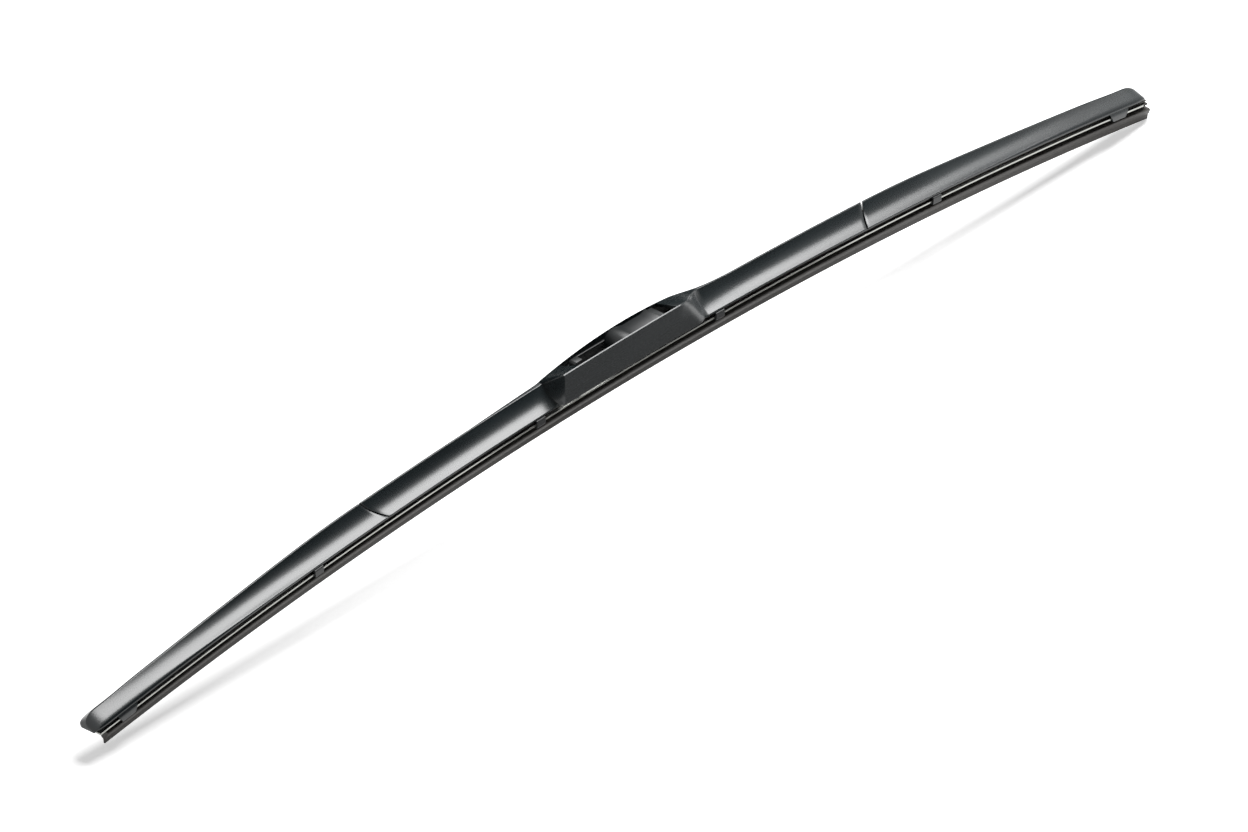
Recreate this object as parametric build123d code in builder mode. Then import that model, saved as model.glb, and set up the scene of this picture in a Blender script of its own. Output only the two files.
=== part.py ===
"""Wiper blade with moulded aerodynamic levers over a rubber squeegee, 650 mm long.

The blade runs along X, its concave fins face -Y, and Z points away from the glass.
The origin is the centre of the hook pin.
Heights in the sections are measured from the wiping lip along the bowed blade's own radius.
"""
import os
from math import cos, degrees, sin

from build123d import *

os.makedirs("parts", exist_ok=True)

# Bow of the unloaded blade and the places along it, measured from the middle
BOW_RADIUS = 2250.0
RUBBER_HALF = 325.0
RUBBER_SHIFT = 7.0
PIN_HEIGHT = 19.5
INNER_CLAW = 55.3
OUTER_CLAW = 191.0
NOSE_END = RUBBER_HALF + 0.5
TIP_CLAW = NOSE_END - 18.5
YOKE_PIVOT = (INNER_CLAW + OUTER_CLAW) / 2
TONGUE_REACH = 26.85
LEVER_PIVOT = YOKE_PIVOT + TONGUE_REACH

# Clearances
GAP = 0.3
RUNNING_FIT = 0.06
CLAW_FIT = 0.1
SIDE_FIT = 0.2
CUT_ROOM = 1.0

# Rubber and spring strips
LIP_HALF = 0.35
LIP_HEIGHT = 2.2
SHOULDER_HALF = 2.9
SHOULDER_TOP = 6.4
NECK_HALF = 0.6
NECK_TOP = 8.2
HEAD_HALF = 2.6
STRIP_BOTTOM = 9.45
STRIP_THICK = 0.8
STRIP_INNER = 1.4
STRIP_HALF = 4.2
STRIP_END_INSET = 2.2
SLOT_FIT = 0.05
STRIP_TOP = STRIP_BOTTOM + STRIP_THICK
HEAD_TOP = STRIP_TOP + 0.65

# Yokes of pressed steel
PLATE = 0.8
YOKE_BOTTOM = HEAD_TOP + GAP
YOKE_TOP = YOKE_BOTTOM + PLATE
YOKE_HALF = 3.6
CLAW_LENGTH = 5.0
CLAW_INNER = STRIP_HALF + CLAW_FIT
CLAW_OUTER = CLAW_INNER + PLATE
FINGER_TOP = STRIP_BOTTOM - CLAW_FIT
FINGER_BOTTOM = FINGER_TOP - PLATE
FINGER_REACH = HEAD_HALF + 0.4
TIP_CLAW_LENGTH = 12.0

# Fin section shared by the three moulded levers
SKIRT_BOTTOM = YOKE_TOP + GAP
SKIRT = 0.6
FRONT_EDGE = SKIRT_BOTTOM + SKIRT
FRONT_Y = -4.4
RIDGE_FRONT_Y = 5.1
RIDGE_REAR_Y = 5.8
REAR_Y = 7.5
RIDGE_TOP = 18.9
FIN_SAG = 1.1
CAVITY_FRONT_Y = -2.3
CAVITY_ROOF = 16.7
CAVITY_RIDGE_Y = 5.2
CAVITY_REAR_Y = 6.4
CAVITY_SAG = 0.55
CAVITY_CORNER = 0.5
CAVITY_CORNER_DROP = 0.3
RIDGE_PINCH = 1.6
REAR_PINCH = 2.0

# Slanted gap between the centre lever and the end levers
GAP_FRONT = LEVER_PIVOT - 2.5
GAP_REAR = LEVER_PIVOT + 6.0
COVER_GAP = 0.9
SLANT_ROOM = 4.0

# Pivots between the levers
TONGUE_FRONT_Y = 3.4
TONGUE_REAR_Y = CAVITY_RIDGE_Y + 0.1
TONGUE_TIP_REAR_Y = TONGUE_FRONT_Y + 1.1
TONGUE_ROOT = LEVER_PIVOT + 22.0
TONGUE_TOP = SKIRT_BOTTOM + 2.6
TONGUE_TIP_TOP = SKIRT_BOTTOM + 1.9
TONGUE_SHOULDER = LEVER_PIVOT - 6.0
TONGUE_END = YOKE_PIVOT - 2.2
GUSSET_LENGTH = 14.0
GUSSET_BOTTOM = SKIRT_BOTTOM + 1.2
GUSSET_TOP = SKIRT_BOTTOM + 4.9
GUSSET_FRONT_TOP = GUSSET_TOP - 1.6
GUSSET_REAR_Y = CAVITY_REAR_Y + 0.4
RIB_THICK = 1.1
RIB_LENGTH = 8.0
RIB_TOP = SKIRT_BOTTOM + 3.1
LEVER_PIN_R = 1.1
LEVER_PIN_HEIGHT = SKIRT_BOTTOM + 1.0
LEVER_PIN_END = REAR_Y - 0.55
LEVER_BORE_END = REAR_Y - 0.5
YOKE_PIN_R = 0.9
YOKE_PIN_HEIGHT = SKIRT_BOTTOM + 0.5
CHEEK = 0.8
CHEEK_RIM = 0.4
CHEEK_GAP = 0.15
SEAT_HALF = 8.0
FLANGE_RISE = 1.0
FLANGE_INSET = 12.0

# Hook bay
BAY_LEFT = -41.5
BAY_FACET = 2.0
BAY_STRAIGHT = 29.0
BAY_RIGHT = 53.0
FACE_START = BAY_RIGHT - 17.0
FACE_END = BAY_RIGHT - 4.0
EDGE_START = BAY_RIGHT - 12.5
EDGE_END = BAY_RIGHT - 7.0
REAR_START = BAY_LEFT - 45.0
REAR_LEAVE = BAY_STRAIGHT + 6.0
REAR_END = BAY_RIGHT + 12.0
SADDLE = 1.3
SADDLE_START = BAY_RIGHT - 8.0
SADDLE_END = BAY_RIGHT + 22.0
BAY_FRONT_Y = -5.8
BAY_REAR_Y = 7.2
BAY_TOP = 26.6
BAY_CREST = 23.9
BAY_CREST_AT = 8.0
BAY_CREST_RUN = 53.0
BAY_SKIN = 0.8
BAY_ROOF = 1.3
OPENING_LEFT = BAY_LEFT + 9.5
OPENING_RIGHT = BAY_STRAIGHT - 1.0

# Steel bracket, hook pin and adapter
BRACKET_FIT = 0.05
BRACKET_LEFT = OPENING_LEFT + 3.0
BRACKET_RIGHT = OPENING_RIGHT + 2.0
BRACKET_TOP = 21.1
BRACKET_CORNER = 6.0
WEB_TOP = 18.0
LUG_TOP = 23.6
LUG_LENGTH = 4.5
LUG_WIDTH = 3.6
LUG_OFFSET = 1.0
HOOK_PIN_R = 2.5
HOOK_WIDTH = 9.0
NOSE_R = 5.6
ADAPTER_R = NOSE_R - 1.4
ADAPTER_TAIL = BRACKET_RIGHT - 4.0
TAIL_CHAMFER = 2.0
HEEL_CHAMFER = 1.0
POCKET_DEPTH = 2.0
POCKET_CORNER = 0.8
POCKET_OFFSET = 1.5
SNAP_MOUTH = 2 * HOOK_PIN_R - 0.7
LATCH_LENGTH = 14.0
LATCH_SLIT = 1.2
LATCH_DEPTH = 2.0
LATCH_BUMP = 0.9
BUMP_LENGTH = 3.5
BUMP_SLOPE = 2.5
BUMP_ROOT = 0.1

BOW_AXIS = Axis((0, 0, -BOW_RADIUS - PIN_HEIGHT), (0, 1, 0))


def station(s, h=0.0):
    """Point at distance s along the bow and height h above the lip."""
    turn = s / BOW_RADIUS
    reach = BOW_RADIUS + h
    return (reach * sin(turn), 0, reach * cos(turn) - BOW_RADIUS - PIN_HEIGHT)


def section_plane(s):
    """Plane across the blade at s, with local x along Y and local y up the radius."""
    turn = s / BOW_RADIUS
    return Plane(origin=station(s), x_dir=(0, 1, 0), z_dir=(cos(turn), 0, -sin(turn)))


def outline(s, points):
    """Straight-sided section at s."""
    with BuildSketch(section_plane(s)) as shape:
        with BuildLine():
            Polyline(*points, close=True)
        make_face()
    return shape.sketch


def bar(s, low, high):
    """Square-cornered section at s between two corners."""
    return outline(s, [low, (high[0], low[1]), high, (low[0], high[1])])


def fin_outline(s, points):
    """Section of a fin: foot, front edge, bend of the face, ridge front, ridge rear, rear foot."""
    foot, edge, bend, ridge, back, rear = points
    with BuildSketch(section_plane(s)) as shape:
        with BuildLine():
            Line(foot, edge)
            Bezier(edge, bend, ridge)
            Line(ridge, back)
            Line(back, rear)
            Line(rear, foot)
        make_face()
    return shape.sketch


def bent(edge, ridge, sag):
    """Control point that bows the face between edge and ridge inwards by sag."""
    across = ridge[0] - edge[0]
    rise = ridge[1] - edge[1]
    chord = (across ** 2 + rise ** 2) ** 0.5
    middle = ((edge[0] + ridge[0]) / 2, (edge[1] + ridge[1]) / 2)
    return (middle[0] + 2 * sag * rise / chord, middle[1] - 2 * sag * across / chord)


def arc_between(s0, s1):
    """Angle of the bow from s0 to s1 in degrees."""
    return degrees((s1 - s0) / BOW_RADIUS)


def fin_points(edge_h, ridge_h, sag, pull=0.0, pinch=0.0):
    """Outer section of a fin, its ridge pulled forward by pull and all of it narrowed by pinch."""
    foot_h = min(SKIRT_BOTTOM, edge_h - SKIRT)
    edge = (FRONT_Y + pinch, edge_h)
    ridge_back = pull + RIDGE_PINCH * pinch
    ridge = (RIDGE_FRONT_Y - ridge_back, ridge_h)
    return [(FRONT_Y + pinch, foot_h), edge, bent(edge, ridge, sag), ridge,
            (RIDGE_REAR_Y - ridge_back, ridge_h), (REAR_Y - REAR_PINCH * pinch, foot_h)]


def cavity_points(drop, pull=0.0):
    """Hollow under a fin, its roof lowered by drop and pulled forward by pull."""
    low = SKIRT_BOTTOM - CUT_ROOM
    edge = (CAVITY_FRONT_Y, SKIRT_BOTTOM)
    roof_y = CAVITY_RIDGE_Y - pull
    ridge = (roof_y - CAVITY_CORNER, CAVITY_ROOF - CAVITY_CORNER_DROP - drop)
    return [(CAVITY_FRONT_Y, low), edge, bent(edge, ridge, CAVITY_SAG), ridge,
            (roof_y, CAVITY_ROOF - drop), (CAVITY_REAR_Y, low)]


def mixed(first, second, shares):
    """Points part of the way from one section to another, each by its own share."""
    return [(a[0] + (b[0] - a[0]) * share, a[1] + (b[1] - a[1]) * share)
            for a, b, share in zip(first, second, shares)]


def way(s, start, end):
    """Share of the way from start to end at s."""
    return min(max((s - start) / (end - start), 0.0), 1.0)


def eased(s, start, end):
    """The same share, with a soft start and end."""
    t = way(s, start, end)
    return t * t * (3 - 2 * t)


def fin_shares(s):
    """How much of each point of the section at s is fin: a slanted facet on the left, on the right
    a front edge that stays forward longest and a top edge that swings back in an S-curve."""
    if s < BAY_LEFT:
        near = 1 - way(s, BAY_LEFT - BAY_FACET, BAY_LEFT)
        far = 1 - way(s, REAR_START, BAY_LEFT)
        return [near] * 4 + [far] * 2
    edge = way(s, EDGE_START, EDGE_END) ** 2
    face = way(s, FACE_START, FACE_END) ** 2
    top = eased(s, BAY_STRAIGHT, BAY_RIGHT)
    rear = eased(s, REAR_LEAVE, REAR_END)
    return [edge, edge, face, top, rear, rear]


def ridge_top(s):
    """Height of the fin's ridge at s, which comes down from the bay in a long slope on the right."""
    return RIDGE_TOP + (SADDLE * (1 - eased(s, SADDLE_START, SADDLE_END)) if s > 0 else 0.0)


def rear_wall_top(s):
    """Height of the arched rear wall of the bay."""
    arch = BAY_CREST - (BAY_CREST - RIDGE_TOP) * ((s - BAY_CREST_AT) / BAY_CREST_RUN) ** 2
    return max(arch, RIDGE_TOP)


def bay_points(s):
    """Outer section of the hook bay at s, eased into the fins."""
    edge = (BAY_FRONT_Y, FRONT_EDGE)
    top = (BAY_FRONT_Y, BAY_TOP)
    box = [(BAY_FRONT_Y, SKIRT_BOTTOM), edge, bent(edge, top, 0.0), top,
           (BAY_REAR_Y, rear_wall_top(s)), (BAY_REAR_Y, SKIRT_BOTTOM)]
    return mixed(box, fin_points(FRONT_EDGE, ridge_top(s), FIN_SAG), fin_shares(s))


def bay_hollow_points(s):
    """Inner section of the hook bay at s."""
    low = SKIRT_BOTTOM - CUT_ROOM
    front_y = BAY_FRONT_Y + BAY_SKIN
    rear_y = BAY_REAR_Y - BAY_SKIN
    edge = (front_y, SKIRT_BOTTOM)
    top = (front_y, BAY_TOP - BAY_ROOF)
    box = [(front_y, low), edge, bent(edge, top, 0.0), top,
           (rear_y, rear_wall_top(s) - BAY_ROOF), (rear_y, low)]
    return mixed(box, cavity_points(0.0), [eased(s, BAY_STRAIGHT, BAY_RIGHT)] * 6)


def slant_cut(side, offset, far):
    """Plan of the slanted gap's face at offset from its middle, open towards far."""
    front = side * (GAP_FRONT + offset)
    rear = side * (GAP_REAR + offset)
    with BuildSketch(Plane.XY.offset(BAY_TOP - PIN_HEIGHT)) as plan:
        with BuildLine():
            Polyline((front, FRONT_Y - SLANT_ROOM), (front, FRONT_Y), (rear, REAR_Y),
                     (rear, REAR_Y + SLANT_ROOM), (side * far, REAR_Y + SLANT_ROOM),
                     (side * far, FRONT_Y - SLANT_ROOM), close=True)
        make_face()
    return plan.sketch


def round_at(s, h, y, radius):
    """Circle across the blade at s, h and y."""
    place = station(s, h)
    with BuildSketch(Plane.XZ.offset(-y)) as shape:
        with Locations((place[0], place[2])):
            Circle(radius)
    return shape.sketch


# Centre lever: two fins, the hook bay between them and a pivot rib at each end
facet_start = BAY_LEFT - BAY_FACET
bay_straight = [BAY_LEFT + (BAY_STRAIGHT - BAY_LEFT) * i / 9 for i in range(10)]
bay_eased = [BAY_STRAIGHT + (BAY_RIGHT - BAY_STRAIGHT) * i / 10 for i in range(1, 11)]
bay_saddle = [BAY_RIGHT + (SADDLE_END - BAY_RIGHT) * i / 5 for i in range(1, 6)]
bay_rear = [REAR_START + (facet_start - REAR_START) * i / 3 for i in range(4)]
bay_stations = bay_rear + bay_straight + bay_eased + bay_saddle
fin_end = GAP_REAR + SLANT_ROOM
fin_section = fin_points(FRONT_EDGE, RIDGE_TOP, FIN_SAG)
slant_depth = BAY_TOP - STRIP_BOTTOM + station(GAP_REAR)[0] ** 2 / (2 * BOW_RADIUS)
with BuildPart() as centre_lever:
    revolve(fin_outline(-fin_end, fin_section).faces(), axis=BOW_AXIS,
            revolution_arc=arc_between(-fin_end, REAR_START))
    revolve(fin_outline(SADDLE_END, fin_section).faces(), axis=BOW_AXIS,
            revolution_arc=arc_between(SADDLE_END, fin_end))
    loft([fin_outline(s, bay_points(s)) for s in bay_stations], ruled=True)
    revolve(fin_outline(-fin_end - CUT_ROOM, cavity_points(0.0)).faces(), axis=BOW_AXIS,
            revolution_arc=arc_between(-fin_end - CUT_ROOM, BAY_LEFT + 2 * BAY_ROOF), mode=Mode.SUBTRACT)
    revolve(fin_outline(BAY_RIGHT, cavity_points(0.0)).faces(), axis=BOW_AXIS,
            revolution_arc=arc_between(BAY_RIGHT, fin_end + CUT_ROOM), mode=Mode.SUBTRACT)
    loft([fin_outline(s, bay_hollow_points(s))
          for s in [BAY_LEFT + BAY_ROOF] + bay_straight[1:] + bay_eased],
         ruled=True, mode=Mode.SUBTRACT)
    # Opening for the arm's hook
    with BuildSketch(Plane.XY.offset(BAY_TOP - PIN_HEIGHT + CUT_ROOM)) as opening:
        with BuildLine():
            Polyline((OPENING_LEFT, BAY_FRONT_Y + BAY_SKIN), (OPENING_RIGHT, BAY_FRONT_Y + BAY_SKIN),
                     (OPENING_RIGHT, BAY_REAR_Y - BAY_SKIN), (OPENING_LEFT, BAY_REAR_Y - BAY_SKIN),
                     close=True)
        make_face()
    extrude(amount=-(BAY_TOP - STRIP_BOTTOM), mode=Mode.SUBTRACT)
    # Pivot ribs that carry the front ends of the lever pins
    rib_rear_y = TONGUE_FRONT_Y - SIDE_FIT
    rib_front_y = rib_rear_y - RIB_THICK
    rib = [(rib_front_y, SKIRT_BOTTOM), (rib_rear_y, SKIRT_BOTTOM), (rib_rear_y, RIB_TOP),
           (rib_front_y, RIB_TOP - CHEEK)]
    for side in (-1, 1):
        revolve(outline(side * (LEVER_PIVOT - RIB_LENGTH / 2), rib).faces(), axis=BOW_AXIS,
                revolution_arc=side * arc_between(0, RIB_LENGTH))
        extrude(round_at(side * LEVER_PIVOT, LEVER_PIN_HEIGHT, LEVER_BORE_END, LEVER_PIN_R).faces(),
                amount=LEVER_BORE_END - rib_front_y, mode=Mode.SUBTRACT)
        # Slanted end of the fin
        extrude(slant_cut(side, -COVER_GAP / 2, fin_end + SLANT_ROOM).faces(),
                amount=-slant_depth, mode=Mode.SUBTRACT)
centre_lever.part.label = "centre_lever"
export_step(centre_lever.part, "parts/centre_lever.step")

# Left end lever: a fin that flattens to the tip, with tongue and tip claw
# Rows of the nose: distance from its end, rise of the edge, drop of the ridge, sag, pull, pinch
nose_rows = [(0.0, -1.0, 6.4, -0.1, 2.2, 1.6), (0.5, -0.5, 5.2, -0.1, 2.2, 1.1),
             (1.2, 0.0, 4.4, 0.0, 2.2, 0.75), (2.5, 0.45, 3.5, 0.08, 2.2, 0.4),
             (4.5, 0.75, 2.85, 0.15, 2.2, 0.15), (7.0, 0.9, 2.55, 0.2, 2.2, 0.0)]
# Rows of the fin: share of the way to the pivot, rise of the edge, drop of the ridge, sag, pull
fin_rows = [(0.085, 1.0, 2.48, 0.25, 2.2), (0.15, 0.95, 2.2, 0.3, 2.0), (0.215, 0.85, 2.02, 0.36, 1.8),
            (0.28, 0.8, 1.94, 0.42, 1.6), (0.37, 0.7, 1.77, 0.58, 1.3), (0.45, 0.6, 1.6, 0.74, 1.0),
            (0.54, 0.5, 1.38, 0.86, 0.7), (0.63, 0.4, 1.06, 0.96, 0.4), (0.72, 0.25, 0.68, 1.02, 0.2),
            (0.8, 0.1, 0.3, 1.07, 0.1), (0.875, 0.05, 0.1, FIN_SAG, 0.0), (0.945, 0.0, 0.0, FIN_SAG, 0.0),
            (1.04, 0.0, 0.0, FIN_SAG, 0.0)]
# Rows of the hollow: share of the way to the pivot, drop of its roof, pull
hollow_rows = [(0.062, 3.0, 2.2), (0.15, 2.6, 2.0), (0.28, 2.2, 1.6), (0.45, 1.6, 1.0), (0.63, 1.0, 0.4),
               (0.8, 0.3, 0.1), (0.945, 0.0, 0.0), (1.05, 0.0, 0.0)]
fin_run = NOSE_END - LEVER_PIVOT
with BuildPart() as left_end_lever:
    nose = [fin_outline(far - NOSE_END, fin_points(FRONT_EDGE + rise, RIDGE_TOP - drop, sag, pull, pinch))
            for far, rise, drop, sag, pull, pinch in nose_rows]
    fin = [fin_outline(share * fin_run - NOSE_END, fin_points(FRONT_EDGE + rise, RIDGE_TOP - drop, sag, pull))
           for share, rise, drop, sag, pull in fin_rows]
    loft(nose + fin, ruled=True)
    loft([fin_outline(share * fin_run - NOSE_END, cavity_points(drop, pull))
          for share, drop, pull in hollow_rows],
         ruled=True, mode=Mode.SUBTRACT)
    # Slanted inner end
    extrude(slant_cut(-1, COVER_GAP / 2, YOKE_PIVOT).faces(), amount=-slant_depth, mode=Mode.SUBTRACT)
    # Tongue from inside the fin past the lever pin to the yoke pin
    root = [(TONGUE_FRONT_Y, SKIRT_BOTTOM), (TONGUE_REAR_Y, SKIRT_BOTTOM), (TONGUE_REAR_Y, TONGUE_TOP),
            (TONGUE_TIP_REAR_Y, TONGUE_TOP), (TONGUE_FRONT_Y, TONGUE_TIP_TOP)]
    revolve(outline(-TONGUE_ROOT, root).faces(), axis=BOW_AXIS,
            revolution_arc=arc_between(-TONGUE_ROOT, -TONGUE_SHOULDER))
    gusset = [(TONGUE_FRONT_Y, GUSSET_BOTTOM), (GUSSET_REAR_Y, GUSSET_BOTTOM),
              (GUSSET_REAR_Y, GUSSET_TOP), (TONGUE_FRONT_Y, GUSSET_FRONT_TOP)]
    revolve(outline(-TONGUE_ROOT, gusset).faces(), axis=BOW_AXIS,
            revolution_arc=arc_between(0, GUSSET_LENGTH))
    tip = bar(-LEVER_PIVOT, (TONGUE_FRONT_Y, SKIRT_BOTTOM), (TONGUE_TIP_REAR_Y, TONGUE_TIP_TOP))
    revolve(tip.faces(), axis=BOW_AXIS, revolution_arc=arc_between(-LEVER_PIVOT, -TONGUE_END))
    for bore in (round_at(-LEVER_PIVOT, LEVER_PIN_HEIGHT, REAR_Y, LEVER_PIN_R + RUNNING_FIT),
                 round_at(-YOKE_PIVOT, YOKE_PIN_HEIGHT, REAR_Y, YOKE_PIN_R + RUNNING_FIT)):
        extrude(bore.faces(), amount=REAR_Y, mode=Mode.SUBTRACT)
    # Tip claw round both strips
    front_claw = [(-CLAW_OUTER, FINGER_BOTTOM), (-FINGER_REACH, FINGER_BOTTOM),
                  (-FINGER_REACH, FINGER_TOP), (-CLAW_INNER, FINGER_TOP), (-CLAW_INNER, YOKE_BOTTOM),
                  (-FINGER_REACH, YOKE_BOTTOM + 0.4), (-FINGER_REACH, SKIRT_BOTTOM + 0.3),
                  (-CLAW_OUTER, SKIRT_BOTTOM)]
    rear_claw = [(CLAW_OUTER, FINGER_BOTTOM), (FINGER_REACH, FINGER_BOTTOM), (FINGER_REACH, FINGER_TOP),
                 (CLAW_INNER, FINGER_TOP), (CLAW_INNER, SKIRT_BOTTOM + 0.9),
                 (CLAW_OUTER, SKIRT_BOTTOM + 0.9)]
    for claw in (front_claw, rear_claw):
        revolve(outline(-TIP_CLAW - TIP_CLAW_LENGTH / 2, claw).faces(), axis=BOW_AXIS,
                revolution_arc=arc_between(0, TIP_CLAW_LENGTH))
left_end_lever.part.label = "left_end_lever"
export_step(left_end_lever.part, "parts/left_end_lever.step")

# Right end lever, the mirror of the left one
with BuildPart() as right_end_lever:
    mirror(left_end_lever.part, about=Plane.YZ)
right_end_lever.part.label = "right_end_lever"
export_step(right_end_lever.part, "parts/right_end_lever.step")

# Left yoke: a pressed bar with a claw at each end and two cheeks for its pin
yoke_claw = [(CLAW_OUTER, YOKE_TOP), (-CLAW_OUTER, YOKE_TOP), (-CLAW_OUTER, FINGER_BOTTOM),
             (-FINGER_REACH, FINGER_BOTTOM), (-FINGER_REACH, FINGER_TOP), (-CLAW_INNER, FINGER_TOP),
             (-CLAW_INNER, YOKE_BOTTOM), (CLAW_INNER, YOKE_BOTTOM), (CLAW_INNER, FINGER_TOP),
             (FINGER_REACH, FINGER_TOP), (FINGER_REACH, FINGER_BOTTOM), (CLAW_OUTER, FINGER_BOTTOM)]
cheek_front_y = TONGUE_FRONT_Y - CHEEK_GAP - CHEEK
cheek_rear_y = TONGUE_TIP_REAR_Y + CHEEK_GAP
cheek_half = YOKE_PIN_R + CHEEK_RIM
with BuildPart() as left_yoke:
    for along in (INNER_CLAW, OUTER_CLAW):
        revolve(outline(-along - CLAW_LENGTH / 2, yoke_claw).faces(), axis=BOW_AXIS,
                revolution_arc=arc_between(0, CLAW_LENGTH))
    revolve(bar(-OUTER_CLAW, (-YOKE_HALF, YOKE_BOTTOM), (YOKE_HALF, YOKE_TOP)).faces(),
            axis=BOW_AXIS, revolution_arc=arc_between(INNER_CLAW, OUTER_CLAW))
    # Wider seat under the cheeks
    revolve(bar(-YOKE_PIVOT - SEAT_HALF, (0, YOKE_BOTTOM), (cheek_rear_y + CHEEK, YOKE_TOP)).faces(),
            axis=BOW_AXIS, revolution_arc=arc_between(0, 2 * SEAT_HALF))
    # Stiffening flange folded up from the plate, clear of the lever pin
    revolve(bar(-LEVER_PIVOT + FLANGE_INSET, (cheek_front_y, YOKE_BOTTOM),
                (cheek_front_y + CHEEK, YOKE_TOP + FLANGE_RISE)).faces(),
            axis=BOW_AXIS, revolution_arc=arc_between(INNER_CLAW + FLANGE_INSET, LEVER_PIVOT - FLANGE_INSET))
    # Cheeks round the tongue
    pin_at = station(-YOKE_PIVOT, YOKE_PIN_HEIGHT)
    for cheek_y in (cheek_front_y, cheek_rear_y):
        with BuildSketch(Plane.XZ.offset(-cheek_y)) as cheek:
            with Locations((pin_at[0], pin_at[2])):
                Circle(cheek_half)
            with Locations((pin_at[0], pin_at[2] - CHEEK)):
                Rectangle(2 * cheek_half, 2 * CHEEK)
        extrude(amount=-CHEEK)
    extrude(round_at(-YOKE_PIVOT, YOKE_PIN_HEIGHT, REAR_Y, YOKE_PIN_R).faces(), amount=REAR_Y,
            mode=Mode.SUBTRACT)
left_yoke.part.label = "left_yoke"
export_step(left_yoke.part, "parts/left_yoke.step")

# Right yoke, the mirror of the left one
with BuildPart() as right_yoke:
    mirror(left_yoke.part, about=Plane.YZ)
right_yoke.part.label = "right_yoke"
export_step(right_yoke.part, "parts/right_yoke.step")

# Left lever pin, pressed into the centre lever's rib and rear wall
with BuildPart() as left_lever_pin:
    extrude(round_at(-LEVER_PIVOT, LEVER_PIN_HEIGHT, rib_front_y, LEVER_PIN_R).faces(),
            amount=-(LEVER_PIN_END - rib_front_y))
left_lever_pin.part.label = "left_lever_pin"
export_step(left_lever_pin.part, "parts/left_lever_pin.step")

# Right lever pin
with BuildPart() as right_lever_pin:
    mirror(left_lever_pin.part, about=Plane.YZ)
right_lever_pin.part.label = "right_lever_pin"
export_step(right_lever_pin.part, "parts/right_lever_pin.step")

# Left yoke pin, pressed into the yoke's cheeks
with BuildPart() as left_yoke_pin:
    extrude(round_at(-YOKE_PIVOT, YOKE_PIN_HEIGHT, cheek_front_y, YOKE_PIN_R).faces(),
            amount=-(cheek_rear_y + CHEEK - cheek_front_y))
left_yoke_pin.part.label = "left_yoke_pin"
export_step(left_yoke_pin.part, "parts/left_yoke_pin.step")

# Right yoke pin
with BuildPart() as right_yoke_pin:
    mirror(left_yoke_pin.part, about=Plane.YZ)
right_yoke_pin.part.label = "right_yoke_pin"
export_step(right_yoke_pin.part, "parts/right_yoke_pin.step")

# Hook bracket: two steel walls inside the bay, tied by a web at each end, with a folded lug
wall_front_y = BAY_FRONT_Y + BAY_SKIN + BRACKET_FIT
wall_rear_y = BAY_REAR_Y - BAY_SKIN - BRACKET_FIT
bay_middle_y = (wall_front_y + wall_rear_y) / 2
wall_bottom = SKIRT_BOTTOM + GAP - PIN_HEIGHT
wall_top = BRACKET_TOP - PIN_HEIGHT
web_top = WEB_TOP - PIN_HEIGHT
lug_top = LUG_TOP - PIN_HEIGHT
lug_front_y = bay_middle_y + LUG_OFFSET - LUG_WIDTH / 2
with BuildPart() as hook_bracket:
    for wall_y in (wall_front_y, wall_rear_y - PLATE):
        with BuildSketch(Plane.XZ.offset(-wall_y)) as wall:
            with BuildLine():
                Polyline((BRACKET_LEFT, wall_bottom), (BRACKET_RIGHT, wall_bottom),
                         (BRACKET_RIGHT, web_top), (BRACKET_RIGHT - BRACKET_CORNER, wall_top),
                         (BRACKET_LEFT + BRACKET_CORNER, wall_top), (BRACKET_LEFT, web_top), close=True)
            make_face()
        extrude(amount=-PLATE)
    for web_x in (BRACKET_LEFT, BRACKET_RIGHT - PLATE):
        with BuildSketch(Plane.YZ.offset(web_x)) as web:
            with BuildLine():
                Polyline((wall_front_y, wall_bottom), (wall_rear_y, wall_bottom),
                         (wall_rear_y, web_top), (wall_front_y, web_top), close=True)
            make_face()
        extrude(amount=PLATE)
    # Lug folded over from the left web
    with BuildSketch(Plane.XZ.offset(-lug_front_y)) as lug:
        with BuildLine():
            Polyline((BRACKET_LEFT, wall_bottom), (BRACKET_LEFT, lug_top - PLATE),
                     (BRACKET_LEFT + PLATE, lug_top), (BRACKET_LEFT + LUG_LENGTH, lug_top),
                     (BRACKET_LEFT + LUG_LENGTH, lug_top - PLATE),
                     (BRACKET_LEFT + PLATE, lug_top - PLATE), (BRACKET_LEFT + PLATE, wall_bottom),
                     close=True)
        make_face()
    extrude(amount=-LUG_WIDTH)
    extrude(round_at(0, PIN_HEIGHT, wall_rear_y, HOOK_PIN_R).faces(),
            amount=wall_rear_y - wall_front_y, mode=Mode.SUBTRACT)
hook_bracket.part.label = "hook_bracket"
export_step(hook_bracket.part, "parts/hook_bracket.step")

# Hook pin across the bay, flush with the bracket's walls
with BuildPart() as hook_pin:
    extrude(round_at(0, PIN_HEIGHT, wall_front_y, HOOK_PIN_R).faces(), amount=-(wall_rear_y - wall_front_y))
hook_pin.part.label = "hook_pin"
export_step(hook_pin.part, "parts/hook_pin.step")

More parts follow.
